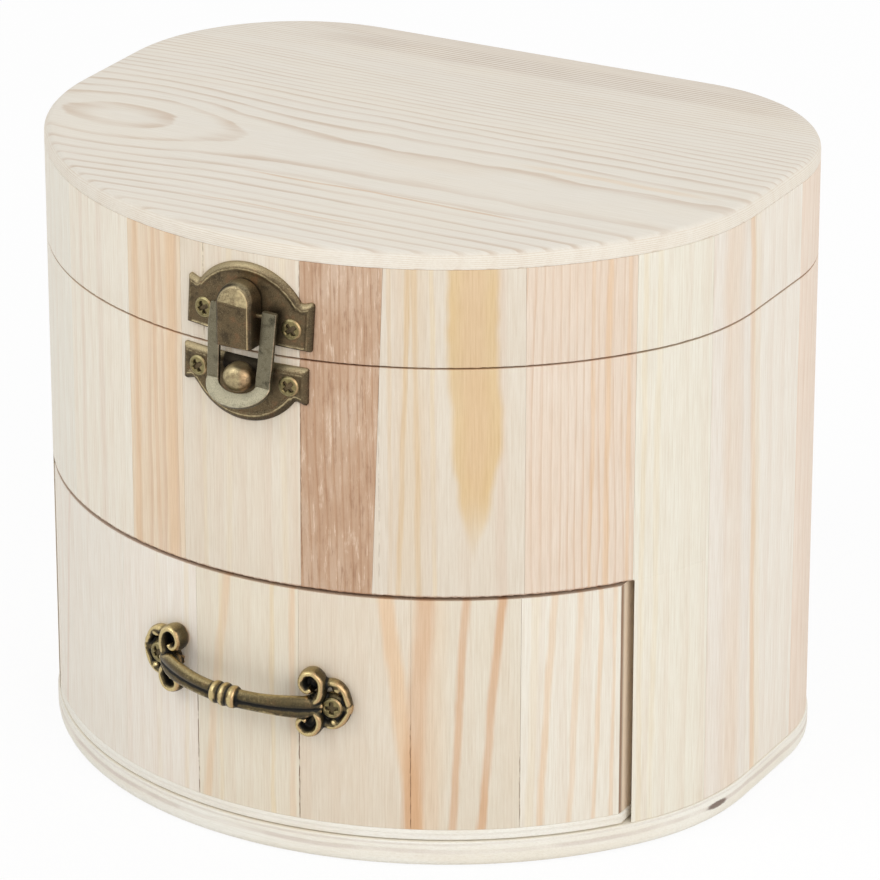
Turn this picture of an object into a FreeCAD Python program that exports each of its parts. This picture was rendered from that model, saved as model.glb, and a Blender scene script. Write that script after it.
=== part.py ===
import FreeCAD, Part
import Sketcher
import math
import os
import re

# Jewellery box of edge-glued pine staves: D-shaped plan with a rounded front,
# a hinged lid held by a lever latch, an upper compartment and one drawer below.
# Millimetres, +Z up, front towards -Y, origin under the middle of the overall box.

doc = FreeCAD.newDocument("JewelleryBox")
Vec = FreeCAD.Vector
TOP = Vec(0, 0, 1)

# Driving sizes
sizes = {
    # plan of the box
    "width": 200,
    "front_flattening": 15,
    "side_tightening": 18,
    "straight_side": 27,
    "rear_radius": 50,
    "wall": 9,
    # heights of the case and the lid
    "base_thickness": 7.4,
    "base_proud": 0.4,
    "base_round": 2.6,
    "base_ease": 0.8,
    "case_top": 137.5,
    "lid_gap": 0.4,
    "lid_wall_height": 25.9,
    "top_board": 4.3,
    "top_round": 2.2,
    # widths of the staves
    "centre_stave": 30,
    "narrow_stave": 20,
    "drawer_stave": 29.5,
    # floor of the upper compartment, let into a groove
    "floor_above_drawer": 2.4,
    "floor_thickness": 3,
    "groove_depth": 3,
    # drawer
    "drawer_side_margin": 15,
    "drawer_rear_gap": 22,
    "drawer_front_height": 64.2,
    "drawer_bottom_thickness": 2.9,
    "drawer_board": 4,
    "drawer_side_height": 50,
    "drawer_side_inset": 1,
    "drawer_under_gap": 0.4,
    "drawer_top_gap": 1.2,
    "drawer_side_gap": 1.8,
    "guide_clearance": 0.7,
    "guide_width": 4,
    "guide_height": 10,
    "guide_length": 40,
    "guide_start": 8,
    # drawer pull
    "pull_level": 46.1,
    "pull_span": 51.5,
    "pull_rise": 8.8,
    "pull_bar_radius": 2.5,
    "collar_radius": 3.3,
    "collar_wire": 0.9,
    "collar_pitch": 2.3,
    "pull_pad_radius": 4.2,
    "pull_pad_height": 2.6,
    "pull_web_radius": 6.4,
    "pull_web_height": 1.2,
    "pull_web_in": 2.2,
    "scroll_radius": 2.1,
    "scroll_wire": 1.35,
    "scroll_rise": 6.1,
    "scroll_in": 5.9,
    "lobe_radius": 2.1,
    "lobe_rise": 5.2,
    "lobe_out": 1.5,
    "tip_radius": 1.9,
    "tip_out": 4.4,
    # hinges on the flat back
    "hinge_offset": 32,
    "leaf_width": 22,
    "leaf_height": 13,
    "leaf_thickness": 1,
    "knuckle_radius": 2,
    "knuckle_stand_off": 0.1,
    "middle_knuckle": 7.6,
    "knuckle_gap": 0.2,
    "leaf_relief": 0.35,
    "hinge_pin_radius": 0.9,
    "pin_clearance": 0.05,
    "stop_tail": 4.6,
    "stop_tail_thickness": 1,
    "hinge_screw_spacing": 13,
    "hinge_screw_drop": 8,
    # lever latch on the front
    "plate_thickness": 0.9,
    "plate_width": 36,
    "plate_gap_above": 3.5,
    "plate_gap_below": 1.5,
    "lid_plate_side": 12,
    "lid_plate_arch": 7.4,
    "case_plate_side": 9.4,
    "case_plate_arch": 7.1,
    "plate_ear": 3.5,
    "latch_screw_offset": 12.8,
    "latch_screw_inset": 5.2,
    "latch_screw_head": 2.8,
    "pivot_above_joint": 4.5,
    "pivot_stand_off": 3.4,
    "lever_width": 9.4,
    "lever_length": 15,
    "lever_heel": 1.4,
    "lever_front": 2.8,
    "lever_back": 1.8,
    "lever_sheet": 0.9,
    "lever_round": 0.7,
    "lever_pin_radius": 0.8,
    "ear_radius": 1.6,
    "ear_thickness": 0.9,
    "ear_root_low": 0.8,
    "ear_clearance": 0.3,
    "loop_pin_rise": 7,
    "loop_pin_radius": 0.8,
    "loop_head": 0.4,
    "loop_head_radius": 1.3,
    "loop_clearance": 0.9,
    "loop_strap": 3.2,
    "loop_sheet": 1.3,
    "loop_eye_radius": 1.9,
    "loop_eye_thickness": 1.6,
    "loop_reach": 17,
    "loop_tilt": 36,
    "knob_radius": 3.6,
    "knob_drop": 6.3,
    "knob_height": 5.2,
    "knob_dome": 1.8,
    # wood screws
    "screw_head_height": 0.7,
    "screw_shank_radius": 1.1,
    "screw_length": 7.5,
    "hinge_screw_head": 1.9,
    "hinge_screw_shank": 0.8,
    "hinge_screw_length": 6,
}

sheet = doc.addObject("Spreadsheet::Sheet", "Sizes")
for row, (alias, value) in enumerate(sizes.items(), start=1):
    sheet.set("A%d" % row, alias.replace("_", " "))
    sheet.set("B%d" % row, str(value))
    sheet.setAlias("B%d" % row, alias)

# Values that follow from the driving sizes
derived = {
    "half": "Sizes.width / 2",
    "front_depth": "half - Sizes.front_flattening",
    "side_radius": "front_depth - Sizes.side_tightening",
    "front_radius": "half + Sizes.front_flattening ^ 2 / (2 * Sizes.side_tightening)",
    "front_centre": "front_radius - front_depth",
    "front_angle": "atan((half - side_radius) / front_centre) / 1 deg",
    "rear_length": "Sizes.straight_side + Sizes.rear_radius",
    "pull_reach": "Sizes.pull_rise + Sizes.collar_radius",
    "hinge_reach": "Sizes.knuckle_radius + Sizes.knuckle_stand_off + Sizes.stop_tail",
    "widest": "(pull_reach - hinge_reach + front_depth - rear_length) / 2",
    "face": "widest - front_depth",
    "back": "widest + rear_length",
    "arc_y": "widest + front_centre",
    "rear_y": "widest + Sizes.straight_side",
    "side_x": "half - side_radius",
    "rear_x": "half - Sizes.rear_radius",
    "lid_bottom": "Sizes.case_top + Sizes.lid_gap",
    "lid_seam": "lid_bottom + Sizes.lid_wall_height",
    "case_wall_height": "Sizes.case_top - Sizes.base_thickness",
    "front_degrees": "180 / pi / front_radius",
    "seam_one": "Sizes.centre_stave / 2 * front_degrees",
    "seam_two": "seam_one + Sizes.narrow_stave * front_degrees",
    "seam_three": "(seam_two + front_angle) / 2",
    "drawer_seam_two": "seam_one + Sizes.drawer_stave * front_degrees",
    "drawer_seam_three": "drawer_seam_two + Sizes.drawer_stave * front_degrees",
    "bottom_level": "Sizes.base_thickness + Sizes.drawer_under_gap",
    "drawer_floor": "bottom_level + Sizes.drawer_bottom_thickness",
    "drawer_top": "drawer_floor + Sizes.drawer_front_height",
    "drawer_half": "half - Sizes.drawer_side_margin",
    "opening_half": "drawer_half + Sizes.drawer_side_gap",
    "opening_top": "drawer_top + Sizes.drawer_top_gap",
    "floor_level": "opening_top + Sizes.floor_above_drawer",
    "box_half": "drawer_half - Sizes.drawer_side_inset",
    "drawer_back_face": "back - Sizes.wall - Sizes.drawer_rear_gap",
    "joint": "Sizes.case_top + Sizes.lid_gap / 2",
    "hinge_y": "back + Sizes.knuckle_radius + Sizes.knuckle_stand_off",
    "plate_half": "Sizes.plate_width / 2",
    "lid_plate_low": "Sizes.case_top + Sizes.plate_gap_above",
    "case_plate_top": "Sizes.case_top - Sizes.plate_gap_below",
    "plate_radius": "front_radius + Sizes.plate_thickness",
    "pivot_y": "face - Sizes.pivot_stand_off",
    "pivot_z": "Sizes.case_top + Sizes.pivot_above_joint",
    "loop_pin_z": "pivot_z + Sizes.loop_pin_rise",
    "lever_half": "Sizes.lever_width / 2",
    "loop_half": "lever_half + Sizes.loop_clearance",
    "knob_z": "Sizes.case_top - Sizes.knob_drop",
    "pull_angle": "Sizes.pull_span / 2 * front_degrees",
    "pull_half": "front_radius * sin(pull_angle * 1 deg)",
    "pull_foot": "arc_y - front_radius * cos(pull_angle * 1 deg)",
    "pull_bow": "pull_foot - face + Sizes.pull_rise - Sizes.pull_pad_height / 2",
    "pull_arc": "(pull_half ^ 2 + pull_bow ^ 2) / (2 * pull_bow)",
    "pull_arc_y": "face - Sizes.pull_rise + pull_arc",
    "pull_sweep": "asin(pull_half / pull_arc) / 1 deg",
}

layout = doc.addObject("Spreadsheet::Sheet", "Layout")
for row, (alias, formula) in enumerate(derived.items(), start=1):
    layout.set("A%d" % row, alias.replace("_", " "))
    layout.set("B%d" % row, "=" + formula)
    layout.setAlias("B%d" % row, alias)
doc.recompute()


# A size's short name becomes its full reference in an expression
def full(text):
    def known(match):
        word = match.group(0)
        if word in sizes:
            return "Sizes." + word
        if word in derived:
            return "Layout." + word
        return word
    return re.sub(r"[a-z_]+", known, text)


reference_point = doc.addObject("Part::Vertex", "reference_point")


def value(text):
    number = reference_point.evalExpression(full(text))
    return float(getattr(number, "Value", number))


def bind(item, **texts):
    for name, text in texts.items():
        item.setExpression(name, full(text))
    return item


# Place of a solid, with its turn as yaw, pitch and roll in degrees
def place(item, x="0", y="0", z="0", yaw="0", pitch="0", roll="0"):
    spot = "vector(%s; %s; %s)" % (x, y, z)
    turn = "rotation(%s; %s; %s)" % (yaw, pitch, roll)
    return bind(item, Placement="placement(%s; %s)" % (spot, turn))


# Place on the round front: across along the arc, out from the wood, local +Z outwards
def on_front(item, across, out, level):
    angle = "(%s) * front_degrees" % across
    reach = "(front_radius + %s)" % out
    x = "%s * sin(%s * 1 deg)" % (reach, angle)
    y = "arc_y - %s * cos(%s * 1 deg)" % (reach, angle)
    return place(item, x, y, level, yaw=angle, roll="90")


def box(name, corner, spans):
    item = doc.addObject("Part::Box", name)
    bind(item, Length=spans[0], Width=spans[1], Height=spans[2])
    return place(item, *corner)


def cylinder(name, radius, height, sweep="360"):
    item = doc.addObject("Part::Cylinder", name)
    return bind(item, Radius=radius, Height=height, Angle=sweep)


# Round bar along X, centred on the middle plane unless a middle is given
def cross_bar(name, radius, length, y, z, middle="0"):
    item = cylinder(name, radius, length)
    return place(item, "%s - (%s) / 2" % (middle, length), y, z, pitch="90")


def cut(name, base, tool):
    item = doc.addObject("Part::Cut", name)
    item.Base = base
    item.Tool = tool
    return item


def common(name, base, tool):
    item = doc.addObject("Part::Common", name)
    item.Base = base
    item.Tool = tool
    return item


def fuse(name, shapes):
    item = doc.addObject("Part::MultiFuse", name)
    item.Shapes = shapes
    return item


def group(name, members):
    item = doc.addObject("Part::Compound", name)
    item.Links = members
    return item


nodes = []


# A finished sub-part: its label names the node
def node(item, label):
    item.Label = label
    nodes.append(item)
    return item


# Sketches

def plane_of(body, role):
    for feature in body.Origin.OriginFeatures:
        if feature.Role == role:
            return feature
    raise ValueError(role)


def new_sketch(body, name, role, lift="0"):
    sketch = body.newObject("Sketcher::SketchObject", name)
    sketch.AttachmentSupport = [(plane_of(body, role), "")]
    sketch.MapMode = "FlatFace"
    sketch.setExpression("AttachmentOffset.Base.z", full(lift))
    return sketch


def fix(sketch, kind, *where, text=None):
    if text is None:
        return sketch.addConstraint(Sketcher.Constraint(kind, *where))
    index = sketch.addConstraint(Sketcher.Constraint(kind, *where, value(text)))
    sketch.setExpression("Constraints[%d]" % index, full(text))
    return index


def line(x1, y1, x2, y2):
    return Part.LineSegment(Vec(x1, y1, 0), Vec(x2, y2, 0))


def arc(x, y, radius, start, end):
    circle = Part.Circle(Vec(x, y, 0), TOP, radius)
    return Part.ArcOfCircle(circle, math.radians(start), math.radians(end))


# D-shaped plan, drawn a given inset inside the outer face of the staves
def plan_sketch(body, inset):
    sketch = new_sketch(body, body.Name + "_plan", "XY_Plane")
    shift = value(inset)
    half = value("half") - shift
    front = value("front_radius") - shift
    side = value("side_radius") - shift
    rear = value("rear_radius") - shift
    angle = value("front_angle")
    widest = value("widest")
    rear_y = value("rear_y")
    side_x = value("side_x")
    rear_x = value("rear_x")
    pieces = [
        arc(0, value("arc_y"), front, -90 - angle, -90 + angle),
        arc(side_x, widest, side, -90 + angle, 0),
        line(half, widest, half, rear_y),
        arc(rear_x, rear_y, rear, 0, 90),
        line(rear_x, rear_y + rear, -rear_x, rear_y + rear),
        arc(-rear_x, rear_y, rear, 90, 180),
        line(-half, rear_y, -half, widest),
        arc(-side_x, widest, side, 180, 270 - angle),
    ]
    sketch.addGeometry(pieces, False)
    count = len(pieces)
    for index in range(count):
        fix(sketch, "Tangent", index, 2, (index + 1) % count, 1)
    fix(sketch, "Vertical", 2)
    fix(sketch, "Vertical", 6)
    fix(sketch, "Horizontal", 4)
    fix(sketch, "Equal", 1, 7)
    fix(sketch, "Equal", 3, 5)
    fix(sketch, "PointOnObject", 0, 3, -2)
    fix(sketch, "Radius", 0, text="front_radius - (%s)" % inset)
    fix(sketch, "Radius", 1, text="side_radius - (%s)" % inset)
    fix(sketch, "Radius", 3, text="rear_radius - (%s)" % inset)
    fix(sketch, "DistanceX", -1, 1, 2, 1, text="half - (%s)" % inset)
    fix(sketch, "DistanceX", 6, 1, 2, 1, text="width - 2 * (%s)" % inset)
    fix(sketch, "DistanceY", -1, 1, 2, 1, text="widest")
    fix(sketch, "DistanceY", 2, 1, 2, 2, text="straight_side")
    return sketch


def pad(body, sketch, length):
    item = body.newObject("PartDesign::Pad", sketch.Name + "_pad")
    item.Profile = sketch
    bind(item, Length=length)
    sketch.Visibility = False
    return item


# Cut made from a sketch; it has to take material away
def pocket(body, sketch, length, midplane=False, reverse=False):
    before = body.Shape.Volume
    item = body.newObject("PartDesign::Pocket", sketch.Name + "_pocket")
    item.Profile = sketch
    item.Midplane = midplane
    item.Reversed = reverse
    bind(item, Length=length)
    doc.recompute()
    if body.Shape.Volume >= before:
        raise RuntimeError(item.Name + " cuts nothing")
    return item


# Names of the edges for which a test on the edge's box holds
def edges_where(feature, test):
    names = []
    for index, edge in enumerate(feature.Shape.Edges, start=1):
        if test(edge.BoundBox):
            names.append("Edge%d" % index)
    return names


def flat_at(level):
    def test(bounds):
        return abs(bounds.ZMin - level) < 1e-4 and abs(bounds.ZMax - level) < 1e-4
    return test


def soften(body, feature, names, radius):
    item = body.newObject("PartDesign::Fillet", feature.Name + "_round")
    item.Base = (feature, names)
    bind(item, Radius=radius)
    doc.recompute()
    return item


def new_body(label, *where, **turn):
    body = doc.addObject("PartDesign::Body", label)
    place(body, *where, **turn)
    return body


# A board with the D-shaped plan
def board(label, level, inset, thickness):
    body = new_body(label, z=level)
    solid = pad(body, plan_sketch(body, inset), thickness)
    doc.recompute()
    return body, solid


# Base board, a little proud of the staves, rounded under
base, base_pad = board("base_board", "0", "-base_proud", "base_thickness")
low = soften(base, base_pad, edges_where(base_pad, flat_at(0)), "base_round")
soften(base, low, edges_where(low, flat_at(value("base_thickness"))), "base_ease")
node(base, "base_board")

# Lid board, its upper edge rounded
lid_board, lid_pad = board("lid_top_board", "lid_seam", "0", "top_board")
soften(lid_board, lid_pad, edges_where(lid_pad, flat_at(value("top_board"))), "top_round")
node(lid_board, "lid_top_board")

# Floor of the upper compartment, its edge in a groove of the staves
floor, _ = board("compartment_floor", "floor_level", "wall - groove_depth", "floor_thickness")
node(floor, "compartment_floor")


# Staves

# Staves on one arc between two angles, counted from the arc's start
def arc_stave(name, centre, radius, start, end, level, height):
    blank = cylinder(name + "_blank", radius, height, "(%s) - (%s)" % (end, start))
    place(blank, centre[0], centre[1], level, yaw=start)
    core = cylinder(name + "_core", "%s - wall" % radius, height)
    place(core, centre[0], centre[1], level)
    return cut(name, blank, core)


# Front staves: one in the middle and three to each side, between the seams' angles
def front_row(name, seams, level, height):
    bounds = ["-(%s)" % seam for seam in reversed(seams)] + list(seams)
    row = []
    for index in range(len(bounds) - 1):
        start = "-90 + %s" % bounds[index]
        end = "-90 + %s" % bounds[index + 1]
        label = "%s_front_%d" % (name, index)
        row.append(arc_stave(label, ("0", "arc_y"), "front_radius", start, end, level, height))
    return row


# Side staves: two on the tighter arc and one straight
def side_row(name, sign, level, height):
    row = []
    steps = ["-90 + front_angle", "-45 + front_angle / 2", "0"]
    for index in range(2):
        start = steps[index]
        end = steps[index + 1]
        if sign < 0:
            start, end = "180 - (%s)" % end, "180 - (%s)" % start
        centre = ("%d * side_x" % sign, "widest")
        label = "%s_%d" % (name, index)
        row.append(arc_stave(label, centre, "side_radius", start, end, level, height))
    left = "half - wall" if sign > 0 else "-half"
    row.append(box(name + "_straight", (left, "widest", level), ("wall", "straight_side", height)))
    return row


# Back staves: three round each rear corner and four across the flat
def back_row(name, level, height):
    row = []
    for sign in (1, -1):
        for index in range(3):
            start = "%d" % (30 * index) if sign > 0 else "%d" % (90 + 30 * index)
            end = "%s + 30" % start
            centre = ("%d * rear_x" % sign, "rear_y")
            label = "%s_corner_%s_%d" % (name, "right" if sign > 0 else "left", index)
            row.append(arc_stave(label, centre, "rear_radius", start, end, level, height))
    for index in range(4):
        corner = ("rear_x * (%d - 2) / 2" % index, "back - wall", level)
        row.append(box("%s_flat_%d" % (name, index), corner, ("rear_x / 2", "wall", height)))
    return row


case_seams = ("seam_one", "seam_two", "seam_three", "front_angle")
drawer_seams = ("seam_one", "drawer_seam_two", "drawer_seam_three", "front_angle")


# Wood screws: a low tapered head on a plain shank, both shared by every screw of a kind
def screw_kind(name, head, shank, length):
    top = doc.addObject("Part::Cone", name + "_head")
    bind(top, Radius1=head, Radius2="%s * 0.7" % head, Height="screw_head_height")
    stem = cylinder(name + "_shank", shank, length)
    place(stem, z="-(%s)" % length)
    return [top, stem]


plate_screw = screw_kind("plate_screw", "latch_screw_head", "screw_shank_radius", "screw_length")
small_screw = screw_kind("small_screw", "hinge_screw_head", "hinge_screw_shank", "hinge_screw_length")


# Latch: two curved plates on the round front
def plate_profile(label, base_level, direction):
    side = label + "_side"
    arch = label + "_arch"
    body = new_body(label + "_blank", "0", "face + wall", base_level)
    sketch = new_sketch(body, label + "_outline", "XZ_Plane")
    half = value("plate_half")
    tall = value(side) * direction
    inner = half - value("plate_ear")
    peak = tall + value(arch) * direction
    rise = peak - tall
    radius = (inner * inner + rise * rise) / (2 * abs(rise))
    centre = peak - radius * direction
    swing = math.degrees(math.asin(inner / radius))
    middle = 90 * direction
    crown = arc(0, centre, radius, middle - swing, middle + swing)
    start, end = (1, 2) if direction > 0 else (2, 1)
    sketch.addGeometry([
        line(-half, 0, half, 0),
        line(half, 0, half, tall),
        line(half, tall, inner, tall),
        crown,
        line(-inner, tall, -half, tall),
        line(-half, tall, -half, 0),
    ], False)
    fix(sketch, "Coincident", 0, 2, 1, 1)
    fix(sketch, "Coincident", 1, 2, 2, 1)
    fix(sketch, "Coincident", 2, 2, 3, start)
    fix(sketch, "Coincident", 3, end, 4, 1)
    fix(sketch, "Coincident", 4, 2, 5, 1)
    fix(sketch, "Coincident", 5, 2, 0, 1)
    for index in (1, 5):
        fix(sketch, "Vertical", index)
    for index in (0, 2, 4):
        fix(sketch, "Horizontal", index)
    fix(sketch, "Symmetric", 0, 1, 0, 2, -1, 1)
    fix(sketch, "DistanceX", 0, 1, 0, 2, text="plate_width")
    fix(sketch, "DistanceX", 2, 2, 2, 1, text="plate_ear")
    fix(sketch, "DistanceX", 4, 2, 4, 1, text="plate_ear")
    low, high = ((1, 1), (1, 2)) if direction > 0 else ((1, 2), (1, 1))
    fix(sketch, "DistanceY", *low, *high, text=side)
    fix(sketch, "PointOnObject", 3, 3, -2)
    fix(sketch, "Radius", 3,
        text="((plate_half - plate_ear) ^ 2 + {0} ^ 2) / (2 * {0})".format(arch))
    pad(body, sketch, "2 * wall")
    doc.recompute()
    ring = cylinder(label + "_outside", "plate_radius", "case_top * 2")
    place(ring, "0", "arc_y")
    hole = cylinder(label + "_inside", "front_radius", "case_top * 2")
    place(hole, "0", "arc_y")
    shell = cut(label + "_shell", ring, hole)
    return common(label + "_sheet", body, shell)


def latch_screws(name, level):
    screws = []
    for side, sign in (("left", -1), ("right", 1)):
        item = fuse("%s_%s" % (name, side), plate_screw)
        screws.append(on_front(item, "%d * latch_screw_offset" % sign, "plate_thickness", level))
    return group(name, screws)


lid_plate_screws = latch_screws("lid_plate_screws", "lid_plate_low + latch_screw_inset")
case_plate_screws = latch_screws("case_plate_screws", "case_plate_top - latch_screw_inset")

# Two ears on the lid's plate carry the lever's pin
lid_sheet = plate_profile("lid_plate", "lid_plate_low", 1)
ears = []
ear_gap = "lever_half - lever_sheet - ear_clearance"
for side, left in (("left", "-(%s)" % ear_gap), ("right", "%s - ear_thickness" % ear_gap)):
    stem = box("ear_stem_" + side, (left, "pivot_y", "pivot_z - ear_root_low"),
               ("ear_thickness", "pivot_stand_off + wall / 4", "ear_root_low + ear_radius"))
    eye = cylinder("ear_eye_" + side, "ear_radius", "ear_thickness")
    place(eye, left, "pivot_y", "pivot_z", pitch="90")
    ears += [stem, eye]
wood_front = cylinder("front_curve", "front_radius", "case_top * 2")
place(wood_front, "0", "arc_y")
ear_pair = cut("ear_pair", fuse("ear_blanks", ears), wood_front)
lever_pin = cross_bar("lever_pin", "lever_pin_radius", "lever_width", "pivot_y", "pivot_z")
lid_plate = cut("lid_plate_bored", fuse("lid_plate_ears", [lid_sheet, ear_pair]), lever_pin)
node(cut("lid_plate_drilled", lid_plate, lid_plate_screws), "latch_lid_plate")
node(lid_plate_screws, "latch_lid_screws")
node(lever_pin, "latch_lever_pin")

# Catch knob, riveted into the case's plate
knob = new_body("knob", "0", "face - plate_thickness", "knob_z", roll="90")
knob_sketch = new_sketch(knob, "knob_round", "XY_Plane")
knob_sketch.addGeometry(Part.Circle(Vec(), TOP, value("knob_radius")), False)
fix(knob_sketch, "Coincident", 0, 3, -1, 1)
fix(knob_sketch, "Radius", 0, text="knob_radius")
knob_pad = pad(knob, knob_sketch, "knob_height")
doc.recompute()
soften(knob, knob_pad, edges_where(knob_pad, flat_at(value("knob_height"))), "knob_dome")
tail_sketch = new_sketch(knob, "knob_tail", "XY_Plane", "-plate_thickness")
tail_sketch.addGeometry(Part.Circle(Vec(), TOP, value("knob_radius / 2")), False)
fix(tail_sketch, "Coincident", 0, 3, -1, 1)
fix(tail_sketch, "Radius", 0, text="knob_radius / 2")
pad(knob, tail_sketch, "plate_thickness")
doc.recompute()
node(knob, "latch_knob")

case_sheet = plate_profile("case_plate", "case_plate_top", -1)
case_plate = cut("case_plate_drilled", case_sheet, case_plate_screws)
node(cut("case_plate_riveted", case_plate, knob), "latch_case_plate")
node(case_plate_screws, "latch_case_screws")

# Lever: a pressed channel with an arched end, pivoted at its heel
lever = new_body("lever", "0", "pivot_y", "pivot_z")


def arch_sketch(body, name, half, heel, top, lift):
    sketch = new_sketch(body, name, "XZ_Plane", lift)
    wide = value(half)
    low = -value(heel)
    crown = value(top) - wide
    sketch.addGeometry([
        line(-wide, low, wide, low),
        line(wide, low, wide, crown),
        arc(0, crown, wide, 0, 180),
        line(-wide, crown, -wide, low),
    ], False)
    fix(sketch, "Coincident", 0, 2, 1, 1)
    fix(sketch, "Tangent", 1, 2, 2, 1)
    fix(sketch, "Tangent", 2, 2, 3, 1)
    fix(sketch, "Coincident", 3, 2, 0, 1)
    fix(sketch, "Vertical", 1)
    fix(sketch, "Vertical", 3)
    fix(sketch, "Horizontal", 0)
    fix(sketch, "PointOnObject", 2, 3, -2)
    fix(sketch, "Radius", 2, text=half)
    fix(sketch, "DistanceY", 0, 1, -1, 1, text=heel)
    fix(sketch, "DistanceY", -1, 1, 2, 3, text="%s - (%s)" % (top, half))
    return sketch


lever_outer = arch_sketch(lever, "lever_outline", "lever_half", "lever_heel", "lever_length", "-lever_back")
lever_pad = pad(lever, lever_outer, "lever_front + lever_back")
doc.recompute()
front_face = -value("lever_front")
heel_level = -value("lever_heel")


def on_front_rim(bounds):
    return abs(bounds.YMin - front_face) < 1e-4 and abs(bounds.YMax - front_face) < 1e-4 \
        and bounds.ZMax > heel_level + 1e-3


lever_rim = soften(lever, lever_pad, edges_where(lever_pad, on_front_rim), "lever_round")
lever_inner = arch_sketch(lever, "lever_hollow", "lever_half - lever_sheet", "lever_heel + lever_sheet",
                          "lever_length - lever_sheet", "-lever_back")
pocket(lever, lever_inner, "lever_front + lever_back - lever_sheet", reverse=True)
bore_sketch = new_sketch(lever, "lever_bores", "YZ_Plane")
for index, (level, radius) in enumerate((("0", "lever_pin_radius"), ("loop_pin_rise", "loop_pin_radius"))):
    size = "%s + pin_clearance" % radius
    bore_sketch.addGeometry(Part.Circle(Vec(0, value(level), 0), TOP, value(size)), False)
    fix(bore_sketch, "Radius", index, text=size)
fix(bore_sketch, "Coincident", 0, 3, -1, 1)
fix(bore_sketch, "PointOnObject", 1, 3, -2)
fix(bore_sketch, "DistanceY", -1, 1, 1, 3, text="loop_pin_rise")
pocket(lever, bore_sketch, "2 * lever_width", midplane=True)
node(lever, "latch_lever")

# Pin of the loop, with a riveted head at each end
loop_outside = "loop_half + loop_eye_thickness + pin_clearance"
rod_length = "2 * (%s)" % loop_outside
pin_rod = cross_bar("loop_pin_rod", "loop_pin_radius", rod_length, "pivot_y", "loop_pin_z")
pin_heads = []
for side, sign in (("left", -1), ("right", 1)):
    middle = "%d * (%s + loop_head / 2)" % (sign, loop_outside)
    head = cross_bar("loop_pin_head_" + side, "loop_head_radius", "loop_head",
                     "pivot_y", "loop_pin_z", middle)
    pin_heads.append(head)
node(fuse("loop_pin", [pin_rod] + pin_heads), "latch_loop_pin")

# Loop: two strap arms with eyes, and a rounded foot tilted outwards
loop_low = "loop_pin_z - loop_reach"
loop_parts = []
for side, sign in (("left", -1), ("right", 1)):
    inner = "loop_half" if sign > 0 else "-loop_half - loop_strap"
    eye_left = "loop_half" if sign > 0 else "-loop_half - loop_eye_thickness"
    eye = cylinder("loop_eye_" + side, "loop_eye_radius", "loop_eye_thickness")
    place(eye, eye_left, "pivot_y", "loop_pin_z", pitch="90")
    neck = box("loop_neck_" + side,
               (eye_left, "pivot_y - loop_sheet / 2", "loop_pin_z - 3 * loop_eye_radius"),
               ("loop_eye_thickness", "loop_sheet", "3 * loop_eye_radius"))
    arm = box("loop_arm_" + side, (inner, "pivot_y - loop_sheet / 2", loop_low),
              ("loop_strap", "loop_sheet", "loop_reach - 2 * loop_eye_radius"))
    loop_parts += [eye, neck, arm]
foot_disc = cylinder("loop_foot_disc", "loop_half + loop_strap", "loop_sheet", "180")
foot_hole = cylinder("loop_foot_hole", "loop_half", "loop_sheet")
foot_blank = cut("loop_foot", foot_disc, foot_hole)
place(foot_blank, "0", "pivot_y - loop_sheet / 2", loop_low, roll="-90 - loop_tilt")
foot_joint = []
for side, left in (("left", "-loop_half - loop_strap"), ("right", "loop_half")):
    knee = cylinder("loop_knee_" + side, "loop_sheet / 2", "loop_strap")
    foot_joint.append(place(knee, left, "pivot_y", loop_low, pitch="90"))
loop_blank = fuse("loop_blank", loop_parts + [foot_blank] + foot_joint)
loop_bore = cross_bar("loop_bore", "loop_pin_radius + pin_clearance", "4 * lever_width",
                      "pivot_y", "loop_pin_z")
node(cut("loop", loop_blank, loop_bore), "latch_loop")


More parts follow.
